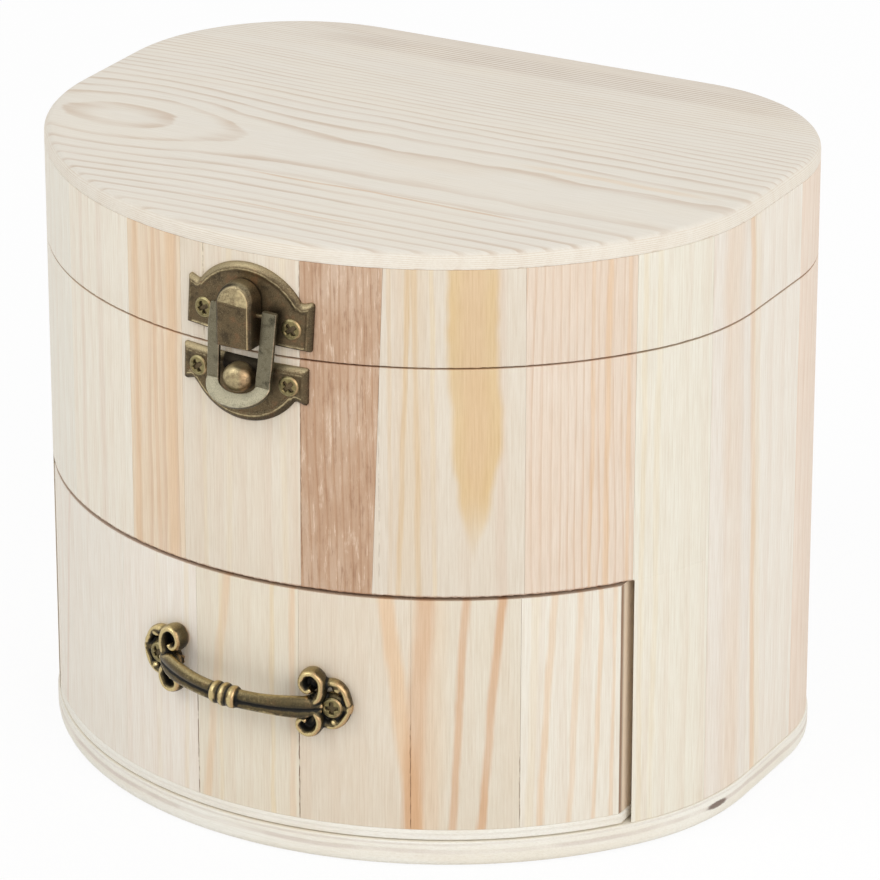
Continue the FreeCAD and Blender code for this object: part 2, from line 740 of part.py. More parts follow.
# Hinges on the flat back: barrel behind the wall, axis level with the joint
def hinge(side, sign):
    middle = "%d * hinge_offset" % sign
    barrel_end = "(leaf_width - middle_knuckle) / 2 - knuckle_gap"
    pin = cross_bar("hinge_pin_" + side, "hinge_pin_radius", "leaf_width", "hinge_y", "joint", middle)
    bore = cross_bar("hinge_bore_" + side, "hinge_pin_radius + pin_clearance", "leaf_width",
                     "hinge_y", "joint", middle)
    leaf_left = "%s - leaf_width / 2" % middle
    plate = box("case_leaf_plate_" + side, (leaf_left, "back", "joint - leaf_height"),
                ("leaf_width", "leaf_thickness", "leaf_height"))
    room = box("case_leaf_room_" + side,
               ("%s - middle_knuckle / 2 - knuckle_gap" % middle, "back",
                "joint - knuckle_radius - leaf_relief"),
               ("middle_knuckle + 2 * knuckle_gap", "leaf_thickness", "knuckle_radius + leaf_relief"))
    parts = [cut("case_leaf_notched_" + side, plate, room)]
    for end, shift in (("a", -1), ("b", 1)):
        spot = "%s + %d * (leaf_width - (%s)) / 2" % (middle, shift, barrel_end)
        label = "case_knuckle_%s_%s" % (side, end)
        parts.append(cross_bar(label, "knuckle_radius", barrel_end, "hinge_y", "joint", spot))
    case_leaf = cut("case_leaf_bored_" + side, fuse("case_leaf_" + side, parts), pin)

    plate = box("lid_leaf_plate_" + side, (leaf_left, "back", "joint"),
                ("leaf_width", "leaf_thickness", "leaf_height"))
    rooms = []
    for end, shift in (("a", -1), ("b", 1)):
        width = "%s + 2 * knuckle_gap" % barrel_end
        spot = "%s + %d * (leaf_width - (%s)) / 2 - (%s) / 2" % (middle, shift, width, width)
        rooms.append(box("lid_leaf_room_%s_%s" % (side, end), (spot, "back", "joint"),
                         (width, "leaf_thickness", "knuckle_radius + leaf_relief")))
    knuckle = cross_bar("lid_knuckle_" + side, "knuckle_radius", "middle_knuckle",
                        "hinge_y", "joint", middle)
    tail = box("stop_tail_" + side, ("%s - middle_knuckle / 2" % middle, "hinge_y", "joint"),
               ("middle_knuckle", "stop_tail", "stop_tail_thickness"))
    notched = cut("lid_leaf_notched_" + side, plate, group("lid_leaf_rooms_" + side, rooms))
    lid_leaf = cut("lid_leaf_bored_" + side, fuse("lid_leaf_" + side, [notched, knuckle, tail]), bore)

    screws = {"case": [], "lid": []}
    for leaf, direction in (("case", -1), ("lid", 1)):
        for end, shift in (("a", -1), ("b", 1)):
            item = fuse("hinge_screw_%s_%s_%s" % (leaf, side, end), small_screw)
            x = "%s + %d * hinge_screw_spacing / 2" % (middle, shift)
            z = "joint + %d * hinge_screw_drop" % direction
            screws[leaf].append(place(item, x, "back + leaf_thickness", z, roll="-90"))
    case_pair = group("case_leaf_screws_" + side, screws["case"])
    lid_pair = group("lid_leaf_screws_" + side, screws["lid"])
    node(cut("case_leaf_drilled_" + side, case_leaf, case_pair), "hinge_case_leaf_" + side)
    node(cut("lid_leaf_drilled_" + side, lid_leaf, lid_pair), "hinge_lid_leaf_" + side)
    node(pin, "hinge_pin_" + side)
    return screws


hinge_screws = {"case": [], "lid": []}
for side, sign in (("left", -1), ("right", 1)):
    for leaf, items in hinge(side, sign).items():
        hinge_screws[leaf] += items
case_hinge_screws = node(group("hinge_screws_case", hinge_screws["case"]), "hinge_case_screws")
lid_hinge_screws = node(group("hinge_screws_lid", hinge_screws["lid"]), "hinge_lid_screws")

# Walls of the case: the front staves are cut away for the drawer
opening = box("drawer_opening", ("-opening_half", "face - wall", "0"),
              ("2 * opening_half", "half", "opening_top"))
case_level = "base_thickness"
case_front = group("case_front", front_row("case", case_seams, case_level, "case_wall_height"))
case_front = cut("case_front_open", case_front, opening)
case_front = cut("case_front_grooved", case_front, floor)
node(cut("case_front_bored", case_front, case_plate_screws), "case_front_staves")
for side, sign in (("left", -1), ("right", 1)):
    row = group("case_" + side, side_row("case_" + side, sign, case_level, "case_wall_height"))
    row = cut("case_%s_open" % side, row, opening)
    node(cut("case_%s_grooved" % side, row, floor), "case_%s_staves" % side)
case_back = group("case_back", back_row("case_back", case_level, "case_wall_height"))
case_back = cut("case_back_grooved", case_back, floor)
node(cut("case_back_bored", case_back, case_hinge_screws), "case_back_staves")

# Walls of the lid, in line with those of the case
lid_front = group("lid_front", front_row("lid", case_seams, "lid_bottom", "lid_wall_height"))
node(cut("lid_front_bored", lid_front, lid_plate_screws), "lid_front_staves")
for side, sign in (("left", -1), ("right", 1)):
    row = side_row("lid_" + side, sign, "lid_bottom", "lid_wall_height")
    node(group("lid_" + side, row), "lid_%s_staves" % side)
lid_back = group("lid_back", back_row("lid_back", "lid_bottom", "lid_wall_height"))
node(cut("lid_back_bored", lid_back, lid_hinge_screws), "lid_back_staves")

# Guide strips on the base board, beside the drawer
guide_places = {
    "left": "-drawer_half - guide_clearance - guide_width",
    "right": "drawer_half + guide_clearance",
}
for side, left in guide_places.items():
    strip = box("guide_" + side, (left, "widest - guide_start", "base_thickness"),
                ("guide_width", "guide_length", "guide_height"))
    node(strip, "drawer_guide_" + side)


# Drawer pull: a bowed bar with a ringed collar, its ends spread in scrolls and lobes
def torus(name, radius, wire, sweep="360"):
    item = doc.addObject("Part::Torus", name)
    return bind(item, Radius1=radius, Radius2=wire, Angle3=sweep)


def ball(name, radius):
    item = doc.addObject("Part::Sphere", name)
    return bind(item, Radius=radius)


bar = torus("pull_bar", "pull_arc", "pull_bar_radius", "2 * pull_sweep")
place(bar, "0", "pull_arc_y", "pull_level", yaw="-90 - pull_sweep")
pull_parts = [bar]
for index in (-1, 0, 1):
    ring = torus("collar_%d" % (index + 1), "collar_radius - collar_wire", "collar_wire")
    place(ring, "%d * collar_pitch" % index, "face - pull_rise", "pull_level", pitch="90")
    pull_parts.append(ring)
pull_screws = []
for side, sign in (("left", -1), ("right", 1)):
    foot = "%d * pull_span / 2" % sign
    disc = cylinder("pull_pad_" + side, "pull_pad_radius", "pull_pad_height + wall / 4")
    pull_parts.append(on_front(disc, foot, "-wall / 4", "pull_level"))
    web = cylinder("pull_web_" + side, "pull_web_radius", "pull_web_height + wall / 4")
    pull_parts.append(on_front(web, "%s - %d * pull_web_in" % (foot, sign), "-wall / 4", "pull_level"))
    for name, shift in (("upper", 1), ("lower", -1)):
        level = "pull_level + %d * scroll_rise" % shift
        scroll = torus("scroll_%s_%s" % (name, side), "scroll_radius", "scroll_wire")
        pull_parts.append(on_front(scroll, "%s - %d * scroll_in" % (foot, sign), "scroll_wire", level))
        lobe = ball("lobe_%s_%s" % (name, side), "lobe_radius")
        level = "pull_level + %d * lobe_rise" % shift
        pull_parts.append(on_front(lobe, "%s + %d * lobe_out" % (foot, sign), "lobe_radius / 2", level))
    tip = ball("tip_" + side, "tip_radius")
    pull_parts.append(on_front(tip, "%s + %d * tip_out" % (foot, sign), "tip_radius / 2", "pull_level"))
    item = fuse("pull_screw_" + side, plate_screw)
    pull_screws.append(on_front(item, foot, "pull_pad_height", "pull_level"))
pull_fasteners = node(group("pull_screws", pull_screws), "handle_screws")
pull = cut("pull_seated", fuse("pull", pull_parts), wood_front)
node(cut("pull_drilled", pull, pull_fasteners), "drawer_handle")

# Drawer: a curved front of staves on a plywood bottom, with a plain box behind
drawer_row = front_row("drawer", drawer_seams, "drawer_floor", "drawer_front_height")
drawer_staves = group("drawer_blank", drawer_row)
drawer_ends = []
for side, left in (("left", "-drawer_half - wall"), ("right", "drawer_half")):
    drawer_ends.append(box("drawer_end_" + side, (left, "face", "drawer_floor"),
                           ("wall", "half", "drawer_front_height")))
drawer_front = cut("drawer_front", drawer_staves, group("drawer_ends", drawer_ends))
node(cut("drawer_front_bored", drawer_front, pull_fasteners), "drawer_front_staves")

bottom = new_body("bottom", z="bottom_level")
bottom_sketch = new_sketch(bottom, "bottom_plan", "XY_Plane")
half = value("drawer_half")
edge_angle = math.degrees(math.asin(half / value("front_radius")))
edge_y = value("arc_y") - value("front_radius") * math.cos(math.radians(edge_angle))
rear = value("drawer_back_face")
bottom_sketch.addGeometry([
    arc(0, value("arc_y"), value("front_radius"), -90 - edge_angle, -90 + edge_angle),
    line(half, edge_y, half, rear),
    line(half, rear, -half, rear),
    line(-half, rear, -half, edge_y),
], False)
for index in range(4):
    fix(bottom_sketch, "Coincident", index, 2, (index + 1) % 4, 1)
fix(bottom_sketch, "Vertical", 1)
fix(bottom_sketch, "Vertical", 3)
fix(bottom_sketch, "Horizontal", 2)
fix(bottom_sketch, "PointOnObject", 0, 3, -2)
fix(bottom_sketch, "Radius", 0, text="front_radius")
fix(bottom_sketch, "DistanceY", -1, 1, 0, 3, text="arc_y")
fix(bottom_sketch, "DistanceX", 2, 2, 2, 1, text="2 * drawer_half")
fix(bottom_sketch, "DistanceY", -1, 1, 2, 1, text="drawer_back_face")
pad(bottom, bottom_sketch, "drawer_bottom_thickness")
doc.recompute()
node(bottom, "drawer_bottom")

inner_curve = cylinder("drawer_inner_curve", "front_radius - wall", "case_top")
place(inner_curve, "0", "arc_y")
for side, left in (("left", "-box_half"), ("right", "box_half - drawer_board")):
    panel = box("drawer_side_blank_" + side, (left, "face", "drawer_floor"),
                ("drawer_board", "drawer_back_face - face", "drawer_side_height"))
    node(common("drawer_side_fitted_" + side, panel, inner_curve), "drawer_side_" + side)
back_corner = ("-box_half + drawer_board", "drawer_back_face - drawer_board", "drawer_floor")
back_panel = box("drawer_back_panel", back_corner,
                 ("2 * (box_half - drawer_board)", "drawer_board", "drawer_side_height"))
node(back_panel, "drawer_back")

doc.recompute()

# Every object has to be sound before anything is written
for item in doc.Objects:
    if "Invalid" in item.State or "Error" in item.State:
        raise RuntimeError("%s: %s" % (item.Name, item.State))
for item in nodes:
    if item.Shape.isNull() or not item.Shape.isValid():
        raise RuntimeError("bad shape: " + item.Label)

os.makedirs("parts", exist_ok=True)
for item in nodes:
    item.Shape.exportStep("parts/%s.step" % item.Label)
    print("%-24s %2d solids %10.2f mm3" % (item.Label, len(item.Shape.Solids), item.Shape.Volume))
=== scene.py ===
import bmesh
import bpy
import numpy
import random
from math import asin, atan2, cos, exp, hypot, pi, radians, sin, sqrt
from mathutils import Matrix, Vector, noise


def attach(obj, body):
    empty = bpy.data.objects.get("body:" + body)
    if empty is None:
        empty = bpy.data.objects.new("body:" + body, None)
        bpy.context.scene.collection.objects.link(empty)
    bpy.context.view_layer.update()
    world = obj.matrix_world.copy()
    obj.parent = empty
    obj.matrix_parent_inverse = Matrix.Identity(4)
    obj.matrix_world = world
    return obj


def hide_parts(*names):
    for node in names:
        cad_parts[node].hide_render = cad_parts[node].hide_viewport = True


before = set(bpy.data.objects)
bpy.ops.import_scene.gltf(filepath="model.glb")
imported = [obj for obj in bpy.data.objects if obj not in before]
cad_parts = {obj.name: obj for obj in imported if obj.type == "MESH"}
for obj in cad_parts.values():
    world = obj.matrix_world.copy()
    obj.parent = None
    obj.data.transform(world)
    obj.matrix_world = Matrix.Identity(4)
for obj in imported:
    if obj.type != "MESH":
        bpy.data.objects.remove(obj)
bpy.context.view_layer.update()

scene = bpy.context.scene
mm = 0.001
print("frame loaded:", len(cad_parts), "nodes")


# Shader maths: a wire is one socket, and an expression on wires adds its nodes

def mathsNode(operation, reflected=False):
    if reflected:
        return lambda self, other: self.maths(operation, other, self)
    return lambda self, *others: self.maths(operation, self, *others)


class Wire:
    def __init__(self, tree, socket):
        self.tree = tree
        self.socket = socket

    def make(self, kind, settings=None, values=None, out=0):
        item = self.tree.nodes.new(kind)
        for name, value in (settings or {}).items():
            setattr(item, name, value)
        for name, value in (values or {}).items():
            if isinstance(value, Wire):
                self.tree.links.new(value.socket, item.inputs[name])
            else:
                item.inputs[name].default_value = value
        return Wire(self.tree, item.outputs[out])

    def maths(self, operation, *values):
        return self.make("ShaderNodeMath", {"operation": operation}, dict(enumerate(values)))

    __add__ = mathsNode("ADD")
    __radd__ = mathsNode("ADD", True)
    __sub__ = mathsNode("SUBTRACT")
    __rsub__ = mathsNode("SUBTRACT", True)
    __mul__ = mathsNode("MULTIPLY")
    __rmul__ = mathsNode("MULTIPLY", True)
    __truediv__ = mathsNode("DIVIDE")
    __pow__ = mathsNode("POWER")
    __abs__ = mathsNode("ABSOLUTE")
    fraction = mathsNode("FRACT")
    atLeast = mathsNode("MAXIMUM")

    def step(self, low, high, least=0.0, most=1.0):  # smooth ramp from least to most
        values = {"Value": self, "From Min": low, "From Max": high, "To Min": least, "To Max": most}
        return self.make("ShaderNodeMapRange", {"interpolation_type": "SMOOTHSTEP"}, values)

    def parts(self):
        item = self.tree.nodes.new("ShaderNodeSeparateXYZ")
        self.tree.links.new(self.socket, item.inputs[0])
        return [Wire(self.tree, output) for output in item.outputs]

    def attribute(self, name, out=1):
        return self.make("ShaderNodeAttribute", {"attribute_name": name}, None, out)

    def facing(self):  # parts of the surface's direction, as the piece stands at rest
        return self.make("ShaderNodeTexCoord", None, None, 1).parts()

    def blend(self, mask, other, mode="MIX"):
        settings = {"data_type": "RGBA", "blend_type": mode}
        return self.make("ShaderNodeMix", settings, {0: mask, 6: self, 7: inLinear(other)}, 2)

    def noise(self, scale, detail, rough=0.5):
        return self.make("ShaderNodeTexNoise", None,
                         {"Vector": self, "Scale": scale, "Detail": detail, "Roughness": rough})

    def field(self, x, y, z, detail, rough=0.5):  # noise over a stretched place
        return self.make("ShaderNodeCombineXYZ", None, {"X": x, "Y": y, "Z": z}).noise(1, detail, rough)


def inLinear(colour):  # colours are written as a screen shows them
    if isinstance(colour, Wire):
        return colour
    return (*[value / 255 / 12.92 if value / 255 < 0.04045 else ((value / 255 + 0.055) / 1.055) ** 2.4
              for value in colour], 1)


# A new material: its shader and a wire to start expressions from
def newMaterial(name, **constants):
    material = bpy.data.materials.new(name)
    material.use_nodes = True
    tree = material.node_tree
    shader = tree.nodes["Principled BSDF"]
    for key, value in constants.items():
        shader.inputs[key.replace("_", " ")].default_value = value
    return material, shader, Wire(tree, tree.nodes.new("ShaderNodeTexCoord").outputs["Object"])


def inMillimetres(start):
    return [part * 1000 for part in start.parts()]


def flat(start, colour):  # one colour to start mixing from
    blank = start.make("ShaderNodeRGB")
    blank.socket.default_value = inLinear(colour)
    return blank


def layered(colour, *layers):  # each layer is a mask, a colour and maybe a way of mixing
    for layer in layers:
        colour = colour.blend(*layer)
    return colour


def surface(shader, colour, roughness, height, distance, strength):
    values = {"Height": height, "Distance": distance, "Strength": strength}
    for name, wire in (("Base Color", colour), ("Roughness", roughness),
                       ("Normal", height.make("ShaderNodeBump", None, values))):
        wire.tree.links.new(wire.socket, shader.inputs[name])


# Mesh helpers

def newObject(name, data):
    item = bpy.data.objects.new(name, data)
    scene.collection.objects.link(item)
    return item


def addMark(mesh, name, values):  # a number, a vector or a colour for each point
    if isinstance(values[0], (int, float)):
        mesh.attributes.new(name, "FLOAT", "POINT").data.foreach_set("value", values)
        return
    kind, field = ("FLOAT_COLOR", "color") if len(values[0]) == 4 else ("FLOAT_VECTOR", "vector")
    layer = mesh.attributes.new(name, kind, "POINT")
    layer.data.foreach_set(field, [number for value in values for number in value])


def shade(mesh, sharp):
    mesh.shade_smooth()
    mesh.set_sharp_from_angle(angle=radians(sharp))


# Collects points, faces and marks in millimetres and builds one object
class Shape:
    def __init__(self):
        self.points = []
        self.faces = []
        self.marks = {}

    def add(self, points, faces, **marks):
        first = len(self.points)
        self.points += [tuple(point) for point in points]
        self.faces += [[first + index for index in face] for face in faces]
        for name, values in marks.items():
            self.marks.setdefault(name, []).extend(values)

    def skin(self, rings, **marks):  # rings of equal length joined, with flat ends
        count = len(rings[0])
        last = (len(rings) - 1) * count
        faces = []
        for first in range(0, last, count):
            for index in range(count):
                here, beside = first + index, first + (index + 1) % count
                faces.append([here, beside, count + beside, count + here])
        faces += [list(range(count))[::-1], [last + index for index in range(count)]]
        self.add([point for ring in rings for point in ring], faces, **marks)

    def build(self, name, sharp=32):
        mesh = bpy.data.meshes.new(name)
        mesh.from_pydata([[value * mm for value in point] for point in self.points], [], self.faces)
        for mark, values in self.marks.items():
            addMark(mesh, mark, values)
        work = bmesh.new()
        work.from_mesh(mesh)
        bmesh.ops.recalc_face_normals(work, faces=work.faces)
        work.to_mesh(mesh)
        work.free()
        shade(mesh, sharp)
        return newObject(name, mesh)


def finishPiece(piece, material, body, node):
    piece.data.materials.clear()
    piece.data.materials.append(material)
    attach(piece, body)
    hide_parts(node)


# Modifiers are applied, so that every piece ends as a plain mesh
def applied(piece):
    mesh = bpy.data.meshes.new_from_object(piece.evaluated_get(bpy.context.evaluated_depsgraph_get()))
    piece.modifiers.clear()
    piece.data = mesh
    return piece


def circle(steps):  # cosine and sine of even steps round a turn
    return [(cos(pi * 2 * step / steps), sin(pi * 2 * step / steps)) for step in range(steps)]


def arc(x, y, radius, start, end, steps=3):
    turns = [radians(start + (end - start) * step / steps) for step in range(steps + 1)]
    return [(x + radius * cos(turn), y + radius * sin(turn)) for turn in turns]


def smooth(low, high, value):
    share = min(1.0, max(0.0, (value - low) / (high - low)))
    return share * share * (3 - 2 * share)


def hump(value, centre, width):
    return exp(-((value - centre) / width) ** 2)


# Plan of the box: a place along the wall, counted from the front's middle, and a depth

plan = {
    "frontRadius": 106.25,
    "frontAngle": atan2(33.0, 21.25),
    "sideRadius": 67.0,
    "sideCentre": 33.0,
    "straight": 27.0,
    "rearRadius": 50.0,
    "rearCentre": 50.0,
    "widest": 6.7,
    "halfWidth": 100,
    "wall": 9.0,
}
frontEnd = plan["frontRadius"] * plan["frontAngle"]
sideEnd = frontEnd + plan["sideRadius"] * (pi / 2 - plan["frontAngle"])
rearStart = sideEnd + plan["straight"]
rearEnd = rearStart + plan["rearRadius"] * pi / 2
backMiddle = rearEnd + plan["rearCentre"]
arcY = plan["widest"] + 21.25
faceY = arcY - plan["frontRadius"]


def onPlan(place, depth=0.0):
    side = 1 if place >= 0 else -1
    place = abs(place)
    if place <= frontEnd:
        turn = place / plan["frontRadius"]
        reach = plan["frontRadius"] - depth
        return side * reach * sin(turn), arcY - reach * cos(turn)
    if place <= sideEnd:
        turn = plan["frontAngle"] + (place - frontEnd) / plan["sideRadius"]
        reach = plan["sideRadius"] - depth
        return side * (plan["sideCentre"] + reach * sin(turn)), plan["widest"] - reach * cos(turn)
    if place <= rearStart:
        return side * (plan["halfWidth"] - depth), plan["widest"] + place - sideEnd
    rearY = plan["widest"] + plan["straight"]
    if place <= rearEnd:
        turn = (place - rearStart) / plan["rearRadius"]
        reach = plan["rearRadius"] - depth
        return side * (plan["rearCentre"] + reach * cos(turn)), rearY + reach * sin(turn)
    return side * (plan["rearCentre"] - (place - rearEnd)), rearY + plan["rearRadius"] - depth


# Place along the wall where a plane across X meets a given depth
def placeAtX(x, depth):
    sine = x / (plan["frontRadius"] - depth)
    if sine < sin(plan["frontAngle"]):
        return plan["frontRadius"] * asin(sine)
    sine = (x - plan["sideCentre"]) / (plan["sideRadius"] - depth)
    return frontEnd + plan["sideRadius"] * (asin(sine) - plan["frontAngle"])


def onFront(across, out, level):  # a point off the round front
    return Vector((*onPlan(across, -out), level))


# Wood of the staves

staveLook = {
    "cream": (234, 227, 216),
    "pale": (238, 232, 221),
    "honey": (230, 220, 201),
    "straw": (222, 212, 197),
    "flesh": (229, 212, 192),
    "warm": (235, 220, 203),
    "orange": (234, 213, 187),
    "rose": (197, 163, 134),
    "dull": (223, 210, 194),
    "late": (205, 164, 128),
    "roughness": 0.62,
}

# Streaks: place at the top of the wall, place at its foot, width, strength, sort
bodyStreaks = [
    (-52.5, -53, 3.2, 0.22, "rose"), (-63, -64, 2.2, 0.2, "rose"),
    (-23.5, -25, 3.6, 0.55, "orange"), (-29.5, -29, 1.6, 0.4, "late"), (-36.5, -37.5, 2.6, 0.5, "orange"),
    (44, 42, 8, 0.3, "tan"), (66, 66.5, 3, 0.2, "rose"),
    (-4.5, -7.5, 1.8, 0.3, "yellow"), (-12.5, -14, 1.4, 0.25, "yellow"), (10.5, 10, 1.6, 0.25, "yellow"),
    (37.8, 38.5, 1.2, 0.4, "tan"), (42.6, 38, 1.4, 0.75, "tan"), (44, 46.5, 1.6, 0.7, "tan"),
    (48.5, 49.5, 1.2, 0.4, "yellow"),
    (89.6, 88.8, 1.2, 0.5, "orange"), (94, 92.6, 1.6, 0.6, "orange"), (99.3, 98.6, 1, 0.5, "orange"),
    (103.8, 103.3, 1.6, 0.3, "yellow"), (108, 107, 1.8, 0.25, "yellow"),
]
sideStreaks = [
    (133.5, 137, 8, 0.26, "orange"), (142.3, 149, 2.8, 0.6, "orange"), (145, 151, 4, 0.2, "yellow"),
    (-140, -139, 2, 0.3, "orange"), (-163, -160, 4, 0.3, "yellow"),
]
drawerStreaks = [
    (3.4, -15.4, 2.6, 0.6, "orange"), (-18.5, -21, 1.6, 0.3, "yellow"), (6.9, 6.2, 1.4, 0.5, "yellow"),
    (12.6, 11.8, 1.8, 0.5, "orange"), (-8, -9.5, 1.2, 0.3, "yellow"), (48.5, 47, 9, 0.3, "orange"),
    (-66, -86, 2, 0.35, "rose"), (-30, -31, 2, 0.15, "yellow"),
    (27, 45.5, 4.4, 0.7, "orange"), (51, 42.5, 5.2, 0.8, "late"), (62, 53, 2.2, 0.65, "late"),
    (73.5, 60, 2.4, 0.8, "late"), (77.5, 73, 2.2, 0.25, "yellow"), (85, 75.5, 2.0, 0.6, "orange"),
    (91, 83.5, 1.9, 0.65, "orange"), (94.5, 90.5, 1.4, 0.5, "orange"), (97.3, 95.5, 1.1, 0.45, "orange"),
]
streakSorts = {
    "orange": (228, 194, 156),
    "yellow": (230, 210, 170),
    "tan": (219, 192, 154),
    "rose": (216, 186, 166),
    "late": (212, 168, 128),
}
wallHeight = 164  # a slanted seam or streak runs from the table to here


def staveMaterial(name, streaks, cracks, stain=False, burnt=None, ends=False):
    material, shader, start = newMaterial(name, Roughness=staveLook["roughness"], Specular_IOR_Level=0.25)
    along, depth, level = start.attribute("woodPlace").parts()
    spacing, shift, contrast = start.attribute("woodGrowth").parts()

    slow = start.field(along * 0.035, depth * 0.035 + shift, level * 0.007, 2)
    quick = start.field(along * 0.35, depth * 0.35 + shift, level * 0.03, 2)
    wander = (slow - 0.5) * 9 + (quick - 0.5) * 0.9
    ring = ((along + depth * 0.8 + wander) / spacing + shift * 7).fraction()
    late = (ring.step(0.25, 0.9) * (1 - ring.step(0.92, 1.0))) ** (contrast * 4 + 0.6)
    patches = start.field(along * 0.05 + 11, shift, level * 0.012, 2).step(0.35, 0.65)
    fibre = start.field(along * 2.4, depth * 2.4, level * 0.07, 4, 0.7)
    hairs = start.field(along * 6, depth * 6, level * 0.35, 2, 0.6)
    mottle = start.field(along * 0.09, depth * 0.09, level * 0.03 + shift, 3, 0.6)
    colour = layered(
        start.attribute("woodTone", 0),
        (late * contrast * (0.35 + patches * 0.65), staveLook["late"]),
        (mottle.step(0.35, 0.7) * 0.16, staveLook["warm"]),
        (mottle.step(0.62, 0.3) * 0.22, staveLook["pale"]))

    frayed = along + (start.field(along * 0.9, level * 0.045, 7.7, 3, 0.7) - 0.5) * 1.4
    for top, foot, width, strength, sort in streaks:
        waver = start.field(level * 0.035, top, 0.5, 3) - 0.5
        off = abs(frayed - foot - level * ((top - foot) / wallHeight) + waver * (1.2 + width * 0.35))
        fade = start.field(level * 0.02, foot, 3.3, 2).step(0.25, 0.6, 0.55, 1)
        mask = off.step(width * 0.2, width * 0.72, 1, 0) * fade * strength
        colour = colour.blend(mask, streakSorts[sort])

    if stain:
        reach = level.step(84, 103) * 3.9 + level.step(103, 117) * 2.2 + 0.4  # its half width
        edge = abs(along - 59.3 + (start.field(level * 0.06, 1.5, 0, 2) - 0.5) * 4)
        inside = (edge - reach).step(-1.4, 1.0, 1, 0) * level.step(82, 106)
        core = (edge - reach * 0.55).step(-2.2, 1.4, 1, 0) * level.step(92, 114)
        colour = layered(colour, (inside * (0.55 + mottle * 0.5), (220, 190, 140)),
                         (core * 0.5, (220, 190, 156)))

    coarse = contrast.step(0.7, 0.74)  # open grain of the darkest stave
    pits = start.field(along * 0.85 + ring * 0.4, depth * 0.85, level * 0.1 + shift, 5, 0.72)
    colour = layered(
        colour,
        (fibre.step(0.3, 0.75) * 0.3, (206, 184, 156), "MULTIPLY"),
        (hairs.step(0.62, 0.8) * 0.16, (190, 158, 122)),
        (late * coarse * 0.4, (158, 118, 88)),
        (mottle.step(0.42, 0.62) * coarse * 0.3, (168, 128, 98)),
        (pits.step(0.52, 0.66) * coarse * 0.6, (152, 112, 84)),
        (pits.step(0.46, 0.34) * coarse * 0.6, (236, 214, 192)))

    crack = None
    for at, low, high, strength in cracks:
        jitter = start.field(level * 0.5, at, 0.2, 2) - 0.5
        line = abs(along - at + jitter * 0.35).step(0.05, 0.22, strength, 0)
        line = line * level.step(low, low + 4) * level.step(high, high - 4)
        line = line * start.field(level * 0.3, at, 9, 3).step(0.35, 0.55)
        crack = line if crack is None else crack.atLeast(line)
    colour = colour.blend(crack, (120, 84, 54))

    if burnt:  # a dark ragged line along the top edge of the opening
        ragged = (start.field(along * 0.8, 2.5, 0, 4, 0.7) - 0.5) * 1.6
        darkLine = abs(level - burnt["top"] + ragged * 0.5).step(0.1, 0.6, 0.6, 0)
        darkLine = darkLine * abs(along).step(burnt["reach"], burnt["reach"] - 1)
        colour = colour.blend(darkLine, (150, 104, 74))

    facing = start.facing()
    colour = colour.blend(abs(facing[2]).step(0.75, 0.95) * 0.5, (196, 158, 120), "MULTIPLY")
    if ends:  # end faces of the drawer front: painted shade near the front edge, painted light deeper in against the shade of the narrow gap
        cut = abs(facing[0]).step(0.93, 0.99)
        colour = layered(colour, (cut * depth.step(1.4, 0.5) * 0.85, (136, 98, 68)),
                         (cut * depth.step(0.5, 1.4) * 0.5, (246, 214, 176)))
    height = fibre * 0.5 + hairs * 0.35 + late * contrast * -0.4 - crack * 1.2
    surface(shader, colour, fibre.step(0.2, 0.8, 0.56, 0.74), height, 0.00022, 0.55)
    return material


# Opening for the drawer: its top, its half width and how far it reaches along the wall
opening = {"top": 75.8, "half": 86.8, "reach": 101.3}

# Cracks: place, lower end, upper end, strength
bodyWood = staveMaterial("bodyPine", bodyStreaks, [(-12.6, 138, 166, 0.75), (14.9, 78, 166, 0.5),
                                                  (35.2, 78, 166, 0.25)], True, opening)
sideWood = staveMaterial("sidePine", sideStreaks, [(106, 10, 70, 0.1)])
drawerWood = staveMaterial("drawerPine", drawerStreaks, [(-16.7, 9, 42, 0.8), (13.7, 9, 44, 0.85),
                                                        (43, 9, 42, 0.6), (71, 11, 34, 0.5)], ends=True)
print("stave wood made")


# Staves: where each one starts at the top and at the table, its tone, ring spacing and contrast

frontStaves = [
    (-125.2, -125.2, "pale", 6.0, 0.1), (-70.5, -70.5, "pale", 5.0, 0.12), (-39.6, -39.4, "orange", 4.5, 0.5),
    (-20, -20, "honey", 7.0, 0.2), (15, 14.2, "rose", 2.3, 0.76), (36.4, 30.6, "straw", 9.0, 0.15),
    (72, 72, "flesh", 2.3, 0.69), (101.4, 100.8, "cream", 6.0, 0.15), (125.2, 125.2, "", 0, 0),
]
drawerStaves = [
    (-98, -98, "pale", 6.0, 0.12), (-44.5, -44.5, "pale", 5.0, 0.12), (-16.5, -16.7, "honey", 6.0, 0.15),
    (13.9, 13.7, "dull", 8.0, 0.12), (43.5, 43, "straw", 9.0, 0.15), (71.5, 71, "cream", 7.0, 0.15),
    (98, 98, "", 0, 0),
]
restStaves = {
    "side": [125.2, 144.4, rearStart],
    "back": [rearStart, rearStart + 26.2, rearStart + 52.4, rearEnd, rearEnd + 25, backMiddle],
}
wallLevels = {"case": (7.4, 137.5), "lid": (137.9, 163.8)}
edgeRound = 0.3
seamGap = 0.06


# Upright section of a wall as depth and level, its four edges rounded
def wallLoop(low, high, lowRound, highRound, shrink):
    wall = plan["wall"]
    return (arc(lowRound, low + lowRound, lowRound - shrink, 180, 270)
            + arc(wall - lowRound, low + lowRound, lowRound - shrink, 270, 360)
            + arc(wall - highRound, high - highRound, highRound - shrink, 0, 90)
            + arc(highRound, high - highRound, highRound - shrink, 90, 180))


# Rough edge left by the saw, as a height off the cut
def sawn(place, size):
    rough = 0.7 * noise.noise(Vector((place * 0.7, 3.7, 0))) + 0.8 * noise.noise(Vector((place * 2.3, 8.1, 0)))
    return size * rough


